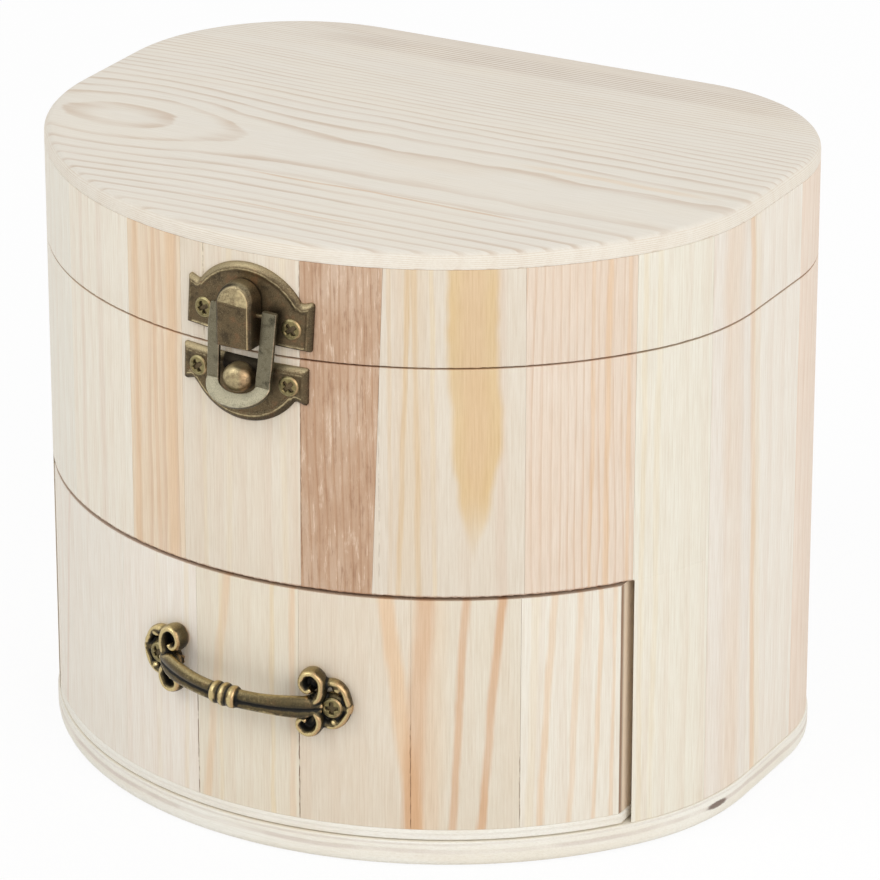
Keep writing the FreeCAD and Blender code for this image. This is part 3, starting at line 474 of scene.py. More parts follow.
def addStave(shape, look, start, end, low, high, lowRound=edgeRound, highRound=edgeRound,
             rough=0.0, stepSize=1.2, openUntil=None, gaps=(seamGap, seamGap)):
    tone, spacing, contrast, shift = look
    rings = []
    places = []
    length = end(0, low) - start(0, low)
    count = max(2, int(abs(length) / stepSize))
    stops = [0.0] + [index / count for index in range(count + 1)] + [1.0]
    for number, share in enumerate(stops):
        outermost = number in (0, len(stops) - 1)
        middle = start(0, low) + share * length
        shut = openUntil and abs(middle) > openUntil  # here the wall goes on below the cut
        ring = []
        loop = wallLoop(low, high, 0.02 if shut else lowRound, highRound, 0.04 if outermost else 0.0)
        for depth, level in loop:
            first = start(depth, level)
            last = end(depth, level)
            sign = 1 if last > first else -1
            first += sign * gaps[0]
            last -= sign * gaps[1]
            if number == 0:
                first -= sign * min(gaps[0], 0.04)
            if number == len(stops) - 1:
                last += sign * min(gaps[1], 0.04)
            place = first + share * (last - first)
            if level < low + 2 and rough and not shut:
                level += sawn(place, rough) * (1 - min(1, (level - low) / 1.0))
            ring.append((*onPlan(place, depth), level))
            places.append((place, depth, level))
        rings.append(ring)
    size = len(places)
    shape.skin(rings, woodPlace=places, woodTone=[tone] * size, woodGrowth=[(spacing, shift, contrast)] * size)


def slanted(top, foot):  # a seam that leans, as a function
    return lambda depth, level: foot + (top - foot) * level / wallHeight


def upright(x, side):  # an end cut straight across X
    return lambda depth, level: side * placeAtX(x, depth)


def lookOf(tone, spacing, contrast, seed):
    dice = random.Random(seed)
    colour = [value * (1 + dice.uniform(-0.02, 0.02)) for value in inLinear(staveLook[tone])[:3]] + [1]
    return colour, spacing, contrast, dice.uniform(0, 9)


# Staves side by side. Ends is where a run is cut straight across X
def staveRun(shape, staves, seed, low, high, ends=None, **settings):
    for index, (stave, after) in enumerate(zip(staves, staves[1:])):
        start, end, gaps = slanted(*stave[:2]), slanted(*after[:2]), [seamGap, seamGap]
        if ends and index == 0:
            start, gaps[0] = upright(ends, -1), 0
        if ends and index == len(staves) - 2:
            end, gaps[1] = upright(ends, 1), 0
        addStave(shape, lookOf(*stave[2:], seed + index), start, end, low, high, gaps=gaps, **settings)


low, high = wallLevels["case"]
shape = Shape()
staveRun(shape, frontStaves, 1, opening["top"], high, rough=0.28, stepSize=0.5, openUntil=opening["reach"])
for side, index in ((-1, 0), (1, len(frontStaves) - 2)):  # beside the opening
    outer = side * frontStaves[-1][0]
    addStave(shape, lookOf(*frontStaves[index][2:], index + 1), upright(opening["half"], side),
             slanted(outer, outer), low, opening["top"], 0.1, 0.02, gaps=(0.0, seamGap))
finishPiece(shape.build("caseFront"), bodyWood, "case", "case_front_staves")
shape = Shape()
staveRun(shape, frontStaves, 1, *wallLevels["lid"], rough=0.12, stepSize=0.8)
finishPiece(shape.build("lidFront"), bodyWood, "lid", "lid_front_staves")


def restWall(shape, seams, sign, levels, looks):
    for first, last, look in zip(seams, seams[1:], looks):
        addStave(shape, look, slanted(sign * first, sign * first), slanted(sign * last, sign * last), *levels)


for body, levels in wallLevels.items():
    for side, sign in (("left", -1), ("right", 1)):
        shape = Shape()
        looks = [lookOf(tone, 7.0, 0.14, 30 + index + sign) for index, tone in enumerate(("cream", "pale"))]
        restWall(shape, restStaves["side"], sign, levels, looks)
        finishPiece(shape.build(body + side.capitalize()), sideWood, body,
                    "%s_%s_staves" % (body, side))
    shape = Shape()
    for sign in (-1, 1):
        looks = []
        for index in range(len(restStaves["back"]) - 1):
            dice = random.Random(60 + index * sign)
            tone = dice.choice(("cream", "pale", "warm", "honey", "cream"))
            looks.append(lookOf(tone, dice.uniform(2, 7), dice.uniform(0.15, 0.45), 50 + index * sign))
        restWall(shape, restStaves["back"], sign, levels, looks)
    finishPiece(shape.build(body + "Back"), sideWood, body, body + "_back_staves")

shape = Shape()
staveRun(shape, drawerStaves, 80, 10.7, 74.9, 84.6, lowRound=0.1, highRound=0.35)
finishPiece(shape.build("drawerFront"), drawerWood, "drawer", "drawer_front_staves")
print("staves made")


# Boards with the plan of the box: a profile of inset and level round the whole outline
def planBoard(name, profile, spacing=1.6):
    count = int(2 * backMiddle / spacing)
    places = [-backMiddle + 2 * backMiddle * (index + 0.5) / count for index in range(count)]
    shape = Shape()
    shape.skin([[(*onPlan(place, inset), level) for place in places] for inset, level in profile])
    return shape.build(name)


# Lid board: flat-sawn pine, its growth rings cut from one log
lidBoardLook = {
    "base": (230, 224, 213),
    "late": (204, 184, 164),
    "warm": (226, 204, 176),
    "rear": (214, 201, 187),
    "pithDepth": 31.5,
    "pithY": -15.1,
    "ringSpacing": 3.5,
    "top": 168.1,
    "profile": [(0.12, 163.8), (0, 163.95)] + arc(2.2, 165.9, 2.2, 180, 90, 5) + [(7, 168.1), (30, 168.1)],
    # Streaks: place in Y, left end, right end, width, strength
    "streaks": [(-36, -30, 62, 0.9, 0.6), (0.5, 30, 96, 2.4, 0.5), (-10, -10, 40, 8, 0.14),
                (-58, -35, 30, 0.8, 0.4)],
}


def lidBoardMaterial():
    look = lidBoardLook
    material, shader, start = newMaterial("lidPine", Roughness=0.6, Specular_IOR_Level=0.25)
    x, y, z = inMillimetres(start)
    z = z - look["top"]
    sway = (start.field(x * 0.012, y * 0.03, z * 0.03, 2) - 0.5) * 9
    quick = (start.field(x * 0.05, y * 0.2, z * 0.2, 3) - 0.5) * 1.3
    hill = ((x + 75) / 31) ** 2 * -1  # where the rings close to an arch
    rise = look["pithDepth"] - start.maths("EXPONENT", hill) * 6.2
    across = y - look["pithY"] + sway * 0.5
    radius = start.maths("SQRT", across * across + (rise + z * 0.4) ** 2) + quick + sway * 0.25
    dense = (across - 30).atLeast(0)
    ring = (radius / look["ringSpacing"] + dense * dense * 0.0042 + 0.35).fraction()
    rounding = (z + quick * 0.6).step(-0.25, -1.0) * z.step(-4.2, -3.8)
    late = ring.step(0.5, 0.9) ** 1.5 * (1 - ring.step(0.92, 1.0)) * (1 - rounding * 0.75)
    uneven = start.field(x * 0.02, y * 0.25, 2.2, 2).step(0.3, 0.65, 0.35, 1)
    fibre = start.field(x * 0.06, y * 2.6, z * 2.6, 4, 0.7)
    pores = start.field(x * 0.22, y * 5, z * 5, 2, 0.6)
    mottle = start.field(x * 0.02, y * 0.06, 1, 3)
    follow = (z * 1.9 + start.field(x * 0.04, y * 0.04, 3, 3) * 2.2).fraction().step(0.5, 0.9)
    group = y.step(63, 67) * y.step(78, 75) * x.step(-75, -40) * x.step(95, 70)
    thin = ((y + sway * 0.25) / 1.35).fraction().step(0.35, 0.8)
    colour = layered(
        flat(start, look["base"]),
        (late * uneven * 0.78, look["late"]),
        (rounding * 0.5, (238, 231, 218)),
        (rounding * follow * uneven * 0.5, (206, 184, 156)),
        (y.step(74, 79) * 0.45, look["rear"]),
        (group * thin * 0.55, (176, 150, 130)))
    for at, low, high, width, strength in look["streaks"]:
        waver = (start.field(x * 0.03, at, 4, 2) - 0.5) * 3
        mask = abs(y - at + waver).step(width * 0.2, width * 0.8, strength, 0)
        mask = mask * x.step(low, low + 18) * x.step(high, high - 18)
        colour = colour.blend(mask, look["warm"] if width > 1 else (206, 168, 128))
    colour = layered(
        colour,
        (mottle.step(0.4, 0.7) * 0.2, (234, 224, 206)),
        (fibre.step(0.3, 0.75) * 0.24, (218, 206, 190), "MULTIPLY"),
        (pores.step(0.6, 0.8) * 0.14, (176, 156, 134)))
    height = fibre * 0.5 + pores * 0.3 - late * uneven * 0.35
    surface(shader, colour, fibre.step(0.2, 0.8, 0.55, 0.72), height, 0.00022, 0.5)
    return material


finishPiece(planBoard("lidBoard", lidBoardLook["profile"]), lidBoardMaterial(), "lid",
            "lid_top_board")


# Thin plywood: pale faces, and at the edge a core that shows as a duller line
plyLook = {
    "face": (236, 230, 216),
    "edge": (242, 239, 230),
    "core": (214, 202, 192),
    "knot": (92, 66, 52),
}


# Levels: height of a line, its width, its strength. Knots: place and length
def plywoodMaterial(name, levels, knots=()):
    material, shader, start = newMaterial(name, Roughness=0.66, Specular_IOR_Level=0.2)
    x, y, z = inMillimetres(start)
    fibre = start.field(x * 0.08, y * 2, z * 4, 4, 0.7)
    fuzz = start.field(x * 1.2, y * 1.2, z * 3.5, 3, 0.7)
    slow = start.field(x * 0.02, y * 0.02, z * 0.2, 3)
    edge = abs(start.facing()[2]).step(0.9, 0.6)
    colour = layered(flat(start, plyLook["face"]), (edge, plyLook["edge"]),
                     (slow.step(0.4, 0.7) * 0.3, (226, 212, 188)))
    height = fuzz
    for level, width, strength in levels:
        waver = (start.field(x * 0.05, y * 0.05, level, 3) - 0.5) * 1.0
        line = abs(z - level + waver).step(width * 0.3, width, 1, 0)
        patch = start.field(x * 0.04, y * 0.04, level + 5, 3).step(0.35, 0.6, 0.25, 1)
        colour = colour.blend(line * edge * patch * strength, plyLook["core"])
        height = height - line * 0.6
    for knotX, knotY, knotZ, length in knots:
        dx = (x - knotX) / length
        dy = (y - knotY) / length
        far = start.maths("SQRT", dx * dx + dy * dy + ((z - knotZ) / 1.1) ** 2) + (fuzz - 0.5) * 0.5
        colour = colour.blend(far.step(0.6, 1.0, 0.8, 0), plyLook["knot"])
    colour = layered(colour, (fibre.step(0.35, 0.75) * 0.25, (212, 200, 178), "MULTIPLY"),
                     (fuzz.step(0.6, 0.8) * 0.18, (200, 184, 156)))
    surface(shader, colour, fuzz.step(0.2, 0.8, 0.6, 0.75), height, 0.0003, 0.6)
    return material


baseWood = plywoodMaterial("basePly", [(4.6, 0.9, 0.75), (6.6, 0.4, 0.5)], [(98.6, -7.2, 4.4, 5)])
baseProfile = ([(30, 0), (8, 0)] + arc(2.2, 2.6, 2.6, 270, 180, 5) + arc(0.4, 6.6, 0.8, 180, 90)
               + [(8, 7.4), (40, 7.4)])
finishPiece(planBoard("baseBoard", baseProfile), baseWood, "case", "base_board")
print("boards made")


# Close copies of CAD solids with softened edges
def softCopies(rows):
    for node, edge, material, body in rows:
        first, *rest = node.split("_")
        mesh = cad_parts[node].data.copy()
        work = bmesh.new()
        work.from_mesh(mesh)
        bmesh.ops.remove_doubles(work, verts=work.verts, dist=1e-6)
        bmesh.ops.dissolve_limit(work, angle_limit=radians(1), verts=work.verts, edges=work.edges)
        work.to_mesh(mesh)
        work.free()
        for polygon in mesh.polygons:
            polygon.material_index = 0
        piece = newObject(first + "".join(part.capitalize() for part in rest), mesh)
        modifier = piece.modifiers.new("edge", "BEVEL")
        modifier.width = edge * mm
        modifier.segments = 2
        modifier.limit_method = "ANGLE"
        modifier.angle_limit = radians(40)
        shade(applied(piece).data, 35)
        finishPiece(piece, material, body, node)


def planedMaterial():
    material, shader, start = newMaterial("planedPine", Roughness=0.62, Specular_IOR_Level=0.25)
    x, y, z = inMillimetres(start)
    wander = (start.field(x * 0.05, y * 0.01, z * 0.05, 2) - 0.5) * 8
    ring = ((z + x * 0.3 + wander) / 3.4).fraction()
    late = ring.step(0.3, 0.9) * (1 - ring.step(0.93, 1))
    fibre = start.field(x * 2, y * 0.08, z * 2.4, 4, 0.7)
    colour = layered(flat(start, (232, 220, 198)), (late * 0.35, (212, 176, 136)),
                     (fibre.step(0.3, 0.75) * 0.3, (212, 194, 166), "MULTIPLY"))
    surface(shader, colour, fibre.step(0.2, 0.8, 0.56, 0.74), fibre - late * 0.3, 0.0002, 0.5)
    return material


innerPly = plywoodMaterial("innerPly", [(9.3, 0.4, 0.2), (80, 0.5, 0.5)])
planed = planedMaterial()
softCopies([("drawer_bottom", 0.25, innerPly, "drawer"),
                       ("compartment_floor", 0.1, innerPly, "case")])
softCopies([("drawer_" + node, edge, planed, body) for node, edge, body in (
    ("side_left", 0.35, "drawer"), ("side_right", 0.35, "drawer"), ("back", 0.35, "drawer"),
    ("guide_left", 0.4, "case"), ("guide_right", 0.4, "case"))])
print("inner boards made")


# Metal: dark in the hollows as patina and painted shade, bright on edges as rubbing and painted highlight, with
# painted light and shade by which way a face turns

metalLook = {"roughness": 0.4, "lift": 0.75, "lightFacingFrom": 0.12, "cloud": 0.3, "patch": 0.32, "rub": 0.7}
metalLooks = {
    "antiqueBronze": {"dark": (44, 39, 34), "middle": (106, 91, 68), "bright": (208, 190, 146),
                      "pale": (172, 158, 124), "copper": (138, 102, 74), "speckle": 0.3, "cloud": 0.6,
                      "rub": 0.8},
    "castBronze": {"dark": (38, 39, 40), "middle": (92, 81, 58), "bright": (226, 204, 148),
                   "pale": (184, 166, 120), "copper": (112, 88, 62), "roughness": 0.34, "speckle": 0.2,
                   "lightFacingFrom": 0.42},
    "loopMetal": {"dark": (58, 54, 42), "middle": (126, 119, 98), "bright": (204, 196, 174),
                  "pale": (158, 153, 132), "copper": (84, 76, 56), "speckle": 0.5, "lift": 0.6,
                  "cloud": 0.95, "patch": 0.2, "rub": 0.75},
    "screwBronze": {"dark": (34, 26, 18), "middle": (130, 118, 80), "bright": (184, 172, 128),
                    "pale": (158, 146, 104), "copper": (112, 94, 60), "speckle": 0.25, "lift": 0.3},
}


def metalMaterial(name):
    look = {**metalLook, **metalLooks[name]}
    material, shader, start = newMaterial(name, Metallic=1.0, Roughness=look["roughness"])
    spot = start.make("ShaderNodeVectorMath", {"operation": "SCALE"}, {0: start, "Scale": 1000.0})
    wear = start.attribute("wear", 2)
    cloud = spot.noise(look["patch"], 4, 0.65)
    blotch = spot.noise(0.9, 4, 0.7)
    grain = spot.noise(3.4, 3, 0.7)
    speck = spot.noise(8.0, 2, 0.6)
    facing = start.facing()
    lift = facing[2] * 0.88 - facing[0] * 0.42  # towards the upper left, where the light comes from: faces turned this way get painted light, faces turned away painted shade
    paintedLit = (lift + (grain - 0.5) * 0.5).step(look["lightFacingFrom"], look["lightFacingFrom"] + 0.5)
    # bright on ridges as rubbing and painted highlight; dark in hollows as patina and painted shade
    rubbedAndHighlit = (wear + (blotch - 0.5) * 1.1).step(0.2, 0.9)
    hollow = (wear * -1 + (blotch - 0.5) * 0.5).step(0.1, 0.75)
    # painted copper highlight on edges that face right
    rubAndHighlightColour = flat(start, look["bright"]).blend(facing[0].step(0.15, 0.5) * 0.6, (206, 158, 118))
    colour = layered(
        flat(start, look["middle"]),
        (cloud.step(0.5, 0.72) * look["cloud"], look["dark"]),
        (cloud.step(0.48, 0.3) * 0.5, look["copper"]),
        # painted light on faces turned towards the light
        (paintedLit * look["lift"], look["pale"]),
        # painted shade on faces turned away from the light
        (lift.step(-0.1, -0.62) * 0.55, look["dark"]),
        (grain.step(0.54, 0.7) * look["speckle"], look["pale"]),
        (grain.step(0.46, 0.34) * 0.3, look["dark"]),
        (speck.step(0.6, 0.72) * 0.3, look["dark"]),
        (rubbedAndHighlit * look["rub"], rubAndHighlightColour),
        (hollow * 0.9, look["dark"]))
    matt = look["roughness"] + 0.06
    roughness = grain.step(0.3, 0.7, matt + 0.08, matt - 0.08) + hollow * 0.2 - rubbedAndHighlit * 0.1
    surface(shader, colour, roughness, grain * 0.6 + speck * 0.4 + blotch * 0.6, 0.00009, 0.6)
    return material


bronze, castBronze, pewter, screwMetal = [metalMaterial(name) for name in metalLooks]


# A pressed or cast form: columns and rows between two edges, a front height with wear and painted light and
# shade, a back
def relief(shape, columns, rows, low, high, front, back, place, skirt=3):
    fronts = []
    backs = []
    for u in columns:
        for step in range(rows + 1):
            v = low(u) + (high(u) - low(u)) * (0.5 - 0.5 * cos(pi * step / rows))
            height, wear = front(u, v)
            fronts.append((u, v, height, wear))
            backs.append((u, v, back(u, v, height), min(wear, 0.0)))
    wide = rows + 1
    across = len(columns) - 1
    border = [column * wide for column in range(across + 1)]
    border += [across * wide + row for row in range(1, wide)]
    border += [column * wide + rows for column in range(across - 1, -1, -1)]
    border += [row for row in range(rows - 1, 0, -1)]
    laid = list(fronts)
    rings = [border]
    for layer in range(1, skirt):
        share = layer / skirt
        rings.append([len(laid) + index for index in range(len(border))])
        for index in border:
            (u, v, height, wear), behind = fronts[index], backs[index][2]
            laid.append((u, v, height + (behind - height) * share, wear * (1 - share)))
    first = len(laid)
    laid += backs
    rings.append([first + index for index in border])
    faces = []
    for column in range(across):
        for row in range(rows):
            corner = column * wide + row
            square = [corner, corner + 1, corner + wide + 1, corner + wide]
            faces += [square, [first + index for index in square[::-1]]]
    for ring, after in zip(rings, rings[1:]):
        for index in range(len(border)):
            beside = (index + 1) % len(border)
            faces.append([ring[index], ring[beside], after[beside], after[index]])
    shape.add([place(u, height, v) for u, v, height, wear in laid], faces, wear=[item[3] for item in laid])


def spread(half, count):  # columns, closer towards both ends
    return [-half * cos(pi * index / count) for index in range(count + 1)]


def rounded(radius, over):  # how much a round corner takes off at a place
    return radius - sqrt(max(0.0, radius * radius - max(0.0, over) ** 2))


# Latch plates: pressed sheet with a rolled rim, screwed on a little askew
latchLook = {
    "half": 18.0,
    "lugStart": 14.3,
    "rimHeight": 1.5,
    "faceHeight": 1.2,
    "lid": {"edge": 141.1, "side": 12.7, "arch": 7.6, "up": 1, "shift": 0.5, "turn": -3.5, "screw": 5.4,
            "screwOut": 12.4, "edgeRoll": 0.7, "wearEdge": 0.0, "wearSide": 0.35, "shade": 0.0},
    "case": {"edge": 136.1, "side": 9.6, "arch": 7.5, "up": -1, "shift": -0.5, "turn": -1.6, "screw": 5.3,
             "screwOut": 13.0, "edgeRoll": 1.9, "wearEdge": 0.5, "wearSide": 0.2, "shade": 1.3},
    "shift": 0.3,
    "axisOut": 3.4,
    "leverAxis": 142.0,
    "loopAxis": 149.0,
    "earRadius": 1.6,
}


def platePlace(plate, u, height, v):
    turn = radians(plate["turn"])
    v = plate["up"] * v
    across = u * cos(turn) - v * sin(turn) + plate["shift"]
    return onFront(across, height, plate["edge"] + u * sin(turn) + v * cos(turn))


def latchPlate(plate):
    half, start, rim, face = [latchLook[key] for key in ("half", "lugStart", "rimHeight", "faceHeight")]
    side, arch = plate["side"], plate["arch"]
    radius = (start * start + arch ** 2) / (2 * arch)

    def corner(u):
        return rounded(0.7, abs(u) - half + 0.7)

    def crest(u):
        if abs(u) < start:
            return side + arch - radius + sqrt(radius * radius - u * u)
        return side + 0.45 * hump(abs(u), 17.2, 1.0) - 0.2 * hump(abs(u), start + 0.7, 0.6) - corner(u)

    def front(u, v):
        slope = u / radius * smooth(start + 0.4, start - 1.2, abs(u))
        toCrest = (crest(u) - v) * sqrt(max(0.2, 1 - slope * slope))
        reaches = (toCrest / 1.7, (half - abs(u)) / 1.4, (v - corner(u)) / plate["edgeRoll"])
        near = min(reaches)
        height = 0.3 + (rim - 0.3) * sin(min(1.0, max(0.0, near)) * pi / 2) ** 0.8
        height -= (rim - face) * smooth(1.05, 1.6, near)
        rub = (0.75, plate["wearSide"], plate["wearEdge"])[reaches.index(near)]
        # the rolled crest and edges made bright as rubbing and painted highlight, darker just inside them
        wear = hump(near, 0.98, 0.16) * rub - hump(near, 1.5, 0.3) * 0.25
        # painted shadow of the lever on the case plate, above the knob
        wear -= plate["shade"] * smooth(5.6, 4.4, abs(u + 0.2)) * smooth(4.6, 3.2, v)
        return height, wear

    shape = Shape()
    relief(shape, spread(half, 150), 44, corner, crest, front, lambda u, v, height: -0.05,
           lambda u, height, v: platePlace(plate, u, height, v))
    return shape


lidPlate = latchPlate(latchLook["lid"])
for side in (-1, 1):  # ears that carry the lever's pin
    rings = []
    for x, inset in ((2.62, 0.15), (2.74, 0), (3.38, 0), (3.5, 0.15)):
        radius = latchLook["earRadius"] - inset
        rings.append([Vector((side * x + latchLook["shift"],
                              faceY - (latchLook["axisOut"] + radius * cosine if cosine > 0 else 0.3),
                              latchLook["leverAxis"] + radius * sine)) for cosine, sine in circle(24)])
    lidPlate.skin(rings, wear=[0.0] * 96)
finishPiece(lidPlate.build("latchLidPlate", 50), bronze, "lid", "latch_lid_plate")
casePlate = latchPlate(latchLook["case"])
finishPiece(casePlate.build("latchCasePlate", 50), bronze, "case", "latch_case_plate")


# Lever: a hollow pressing with an arched head, its upper facet leaning back
leverLook = {
    "half": 4.95,
    "foot": 140.6,
    "head": 157.3,
    "rise": 7.3,
    "fold": 152.0,
    "lean": 0.3,
    "edge": 1.0,
    "sheet": 0.9,
    "backRise": 1.5,
    "flare": 0.055,
}


def latchLever():
    look = leverLook
    half = look["half"]
    centre = look["head"] - half

    def low(x):
        return look["foot"] + rounded(0.6, abs(x) - half + 0.6)

    def high(x):
        return centre + sqrt(max(0.0, half * half - x * x))

    def reach(x, z):
        return half - abs(x) if z < centre else half - hypot(x, z - centre)

    def front(x, z):
        fold = look["fold"] - 0.07 * x
        height = look["rise"] - max(0.0, z - fold) * look["lean"] - 0.012 * x * x
        edge = look["edge"] + 0.5 * smooth(centre - 1, centre + 4, z)
        near = min(1.0, max(0.0, min(reach(x, z) / edge, (z - low(x)) / 0.45)))
        height -= edge * (1 - sqrt(max(0.0, 1 - (1 - near) ** 2)))
        # painted highlight along the edge, stronger on the right; painted shade on the sloping sides, more on
        # the left; painted reflection on the upper facet and painted shade along its fold
        wear = hump(near, 0.78, 0.16) * (0.25 + 0.7 * smooth(0, 3, x))
        wear -= hump(near, 0.25, 0.3) * (0.45 + 0.3 * smooth(1, -2, x))
        wear += 0.48 * smooth(fold - 0.2, fold + 0.3, z) * smooth(0.8, 1, near)
        wear -= 0.4 * hump(z, fold - 0.4, 0.4) * smooth(0.7, 1, near)
        return height, wear

    def back(x, z, height):
        inside = smooth(0.75, 1.0, min(reach(x, z), z - low(x)))
        return look["backRise"] + (height - look["sheet"] - look["backRise"]) * inside

    def place(x, height, z):
        x *= 1 + look["flare"] * (1 - height / look["rise"])
        return Vector((x + latchLook["shift"], faceY - height, z))

    shape = Shape()
    relief(shape, spread(half, 64), 60, low, high, front, back, place, 5)
    return shape.build("latchLever", 45)


finishPiece(latchLever(), bronze, "lever", "latch_lever")


# Loop: a flat strap bent into a long U, its foot kicked out under the knob
loopLook = {
    "arm": 7.2,
    "width": 3.3,
    "rightWidth": 4.2,
    "footWidth": 3.9,
    "thick": 1.3,
    "edgeRound": 0.32,
    "top": 150.7,
    "knee": 130.1,
    "footDepth": 4.9,
    "lean": 0.075,
    "footTilt": 40.0,
    "turn": -1.8,
}


def strapSection(width, thick):  # across, thickness way, rubbed brightness and painted highlight
    edge = loopLook["edgeRound"]
    points = []
    for sx, sy, first in ((1, 1, 0), (-1, 1, 90), (-1, -1, 180), (1, -1, 270)):
        corner = arc(sx * (width / 2 - edge), sy * (thick / 2 - edge), edge, first, first + 90)
        points += [(*point, rub) for point, rub in zip(corner, (0.15, 0.5, 0.5, 0.15))]
    return points


def latchLoop():
    look = loopLook
    arm, knee, planeY = look["arm"], look["knee"], faceY - latchLook["axisOut"]
    tilt = radians(look["footTilt"])
    down = Vector((0, -sin(tilt), -cos(tilt)))
    outward = Vector((0, -cos(tilt), sin(tilt)))
    plain = Vector((0, -1, 0))
    bend = (plain + outward) / (1 + plain.dot(outward))

    def armStations(side, wide, narrow, corner):  # place, across, thickness way, width
        stations = []
        for step in range(25):
            level = look["top"] + (knee - look["top"]) * (step / 24) ** 1.5
            below = look["top"] - level
            full = wide * (1 - narrow * (1 - smooth(0, 8, below)))
            width = full - rounded(corner, corner - below)
            out = arm - (full - width) * 0.3
            out += look["lean"] * max(0.0, side) * (level - knee) * smooth(0, 6, level - knee)
            stations.append((Vector((side * out, planeY, level)), Vector((side, 0, 0)),
                             bend if step == 24 else plain, width))
        return stations

    stations = armStations(-1, look["width"], 0.42, 0.9)
    for step in range(1, 40):
        cosine, sine = cos(pi * step / 40), sin(pi * step / 40)
        centre = Vector((0, planeY, knee)) + Vector((-arm * cosine, 0, 0)) + down * look["footDepth"] * sine
        across = Vector((-cosine / arm, 0, 0)) + down * sine / look["footDepth"]
        width = look["width"] + (look["rightWidth"] - look["width"]) * step / 40
        width += (look["footWidth"] - width) * sine
        stations.append((centre, across.normalized(), outward, width))
    stations += armStations(1, look["rightWidth"], 0.0, 0.5)[::-1]
    turn = radians(look["turn"])
    axis = latchLook["loopAxis"]
    rings = []
    wearAndShadingValues = []
    for centre, across, thick, width in stations:
        ring = []
        for a, b, rub in strapSection(width, look["thick"]):
            point = centre + across * a + thick * b
            x = point.x * cos(turn) - (point.z - axis) * sin(turn)
            z = axis + point.x * sin(turn) + (point.z - axis) * cos(turn)
            ring.append(Vector((x + latchLook["shift"], point.y, z)))
            # front edges made bright as rubbing and painted highlight
            wearAndShadingValues.append(rub if b > 0 else 0.0)
        rings.append(ring)
    shape = Shape()
    shape.skin(rings, wear=wearAndShadingValues)
    return shape.build("latchLoop", 28)


finishPiece(latchLoop(), pewter, "loop", "latch_loop")


# Turned parts: rings of a profile round an axis
def turned(shape, profile, centre, axis, side, steps=40, rub=None):
    third = axis.cross(side)
    rings = [[centre + axis * along + (side * cosine + third * sine) * radius for cosine, sine in circle(steps)]
             for radius, along in profile]
    shape.skin(rings, wear=[rub(along) if rub else 0.0 for radius, along in profile for step in range(steps)])


knobLook = {"radius": 3.75, "straight": 3.3, "dome": 2.8, "x": -0.5, "level": 131.4, "widen": 1.1}


def latchKnob():
    radius, straight, dome, middle, level, widen = knobLook.values()
    profile = [(0.01, -0.1), (radius, -0.1), (radius, 1.6), (radius, straight)]
    for step in range(1, 13):
        turn = pi / 2 * step / 12
        profile.append((radius * cos(turn) ** 0.7 if step < 12 else 0.01, straight + dome * sin(turn) ** 1.2))
    shape = Shape()
    # dome made bright as painted highlight, the side near the plate dark as painted shade
    turned(shape, profile, Vector((middle, faceY, level)), Vector((0, -1, 0)), Vector((1, 0, 0)), 48,
           lambda along: 0.6 * smooth(2.9, 4.2, along) - 0.45 * (1 - smooth(1.0, 2.8, along)))
    shape.points = [(middle + (x - middle) * widen, y, z) for x, y, z in shape.points]
    return shape.build("latchKnob")


finishPiece(latchKnob(), bronze, "case", "latch_knob")
for name, radius, half, level, body, node in (
        ("latchLeverPin", 0.8, 4.6, latchLook["leverAxis"], "lid", "latch_lever_pin"),
        ("latchLoopPin", 0.6, 8.0, latchLook["loopAxis"], "loop_pin", "latch_loop_pin")):
    pin = Shape()
    rod = [(0.01, -half), (radius - 0.1, -half), (radius, 0.1 - half), (radius, half - 0.1),
           (radius - 0.1, half), (0.01, half)]
    centre = Vector((latchLook["shift"], faceY - latchLook["axisOut"], level))
    turned(pin, rod, centre, Vector((1, 0, 0)), Vector((0, 1, 0)), 24)
    finishPiece(pin.build(name), bronze, body, node)
print("latch made")


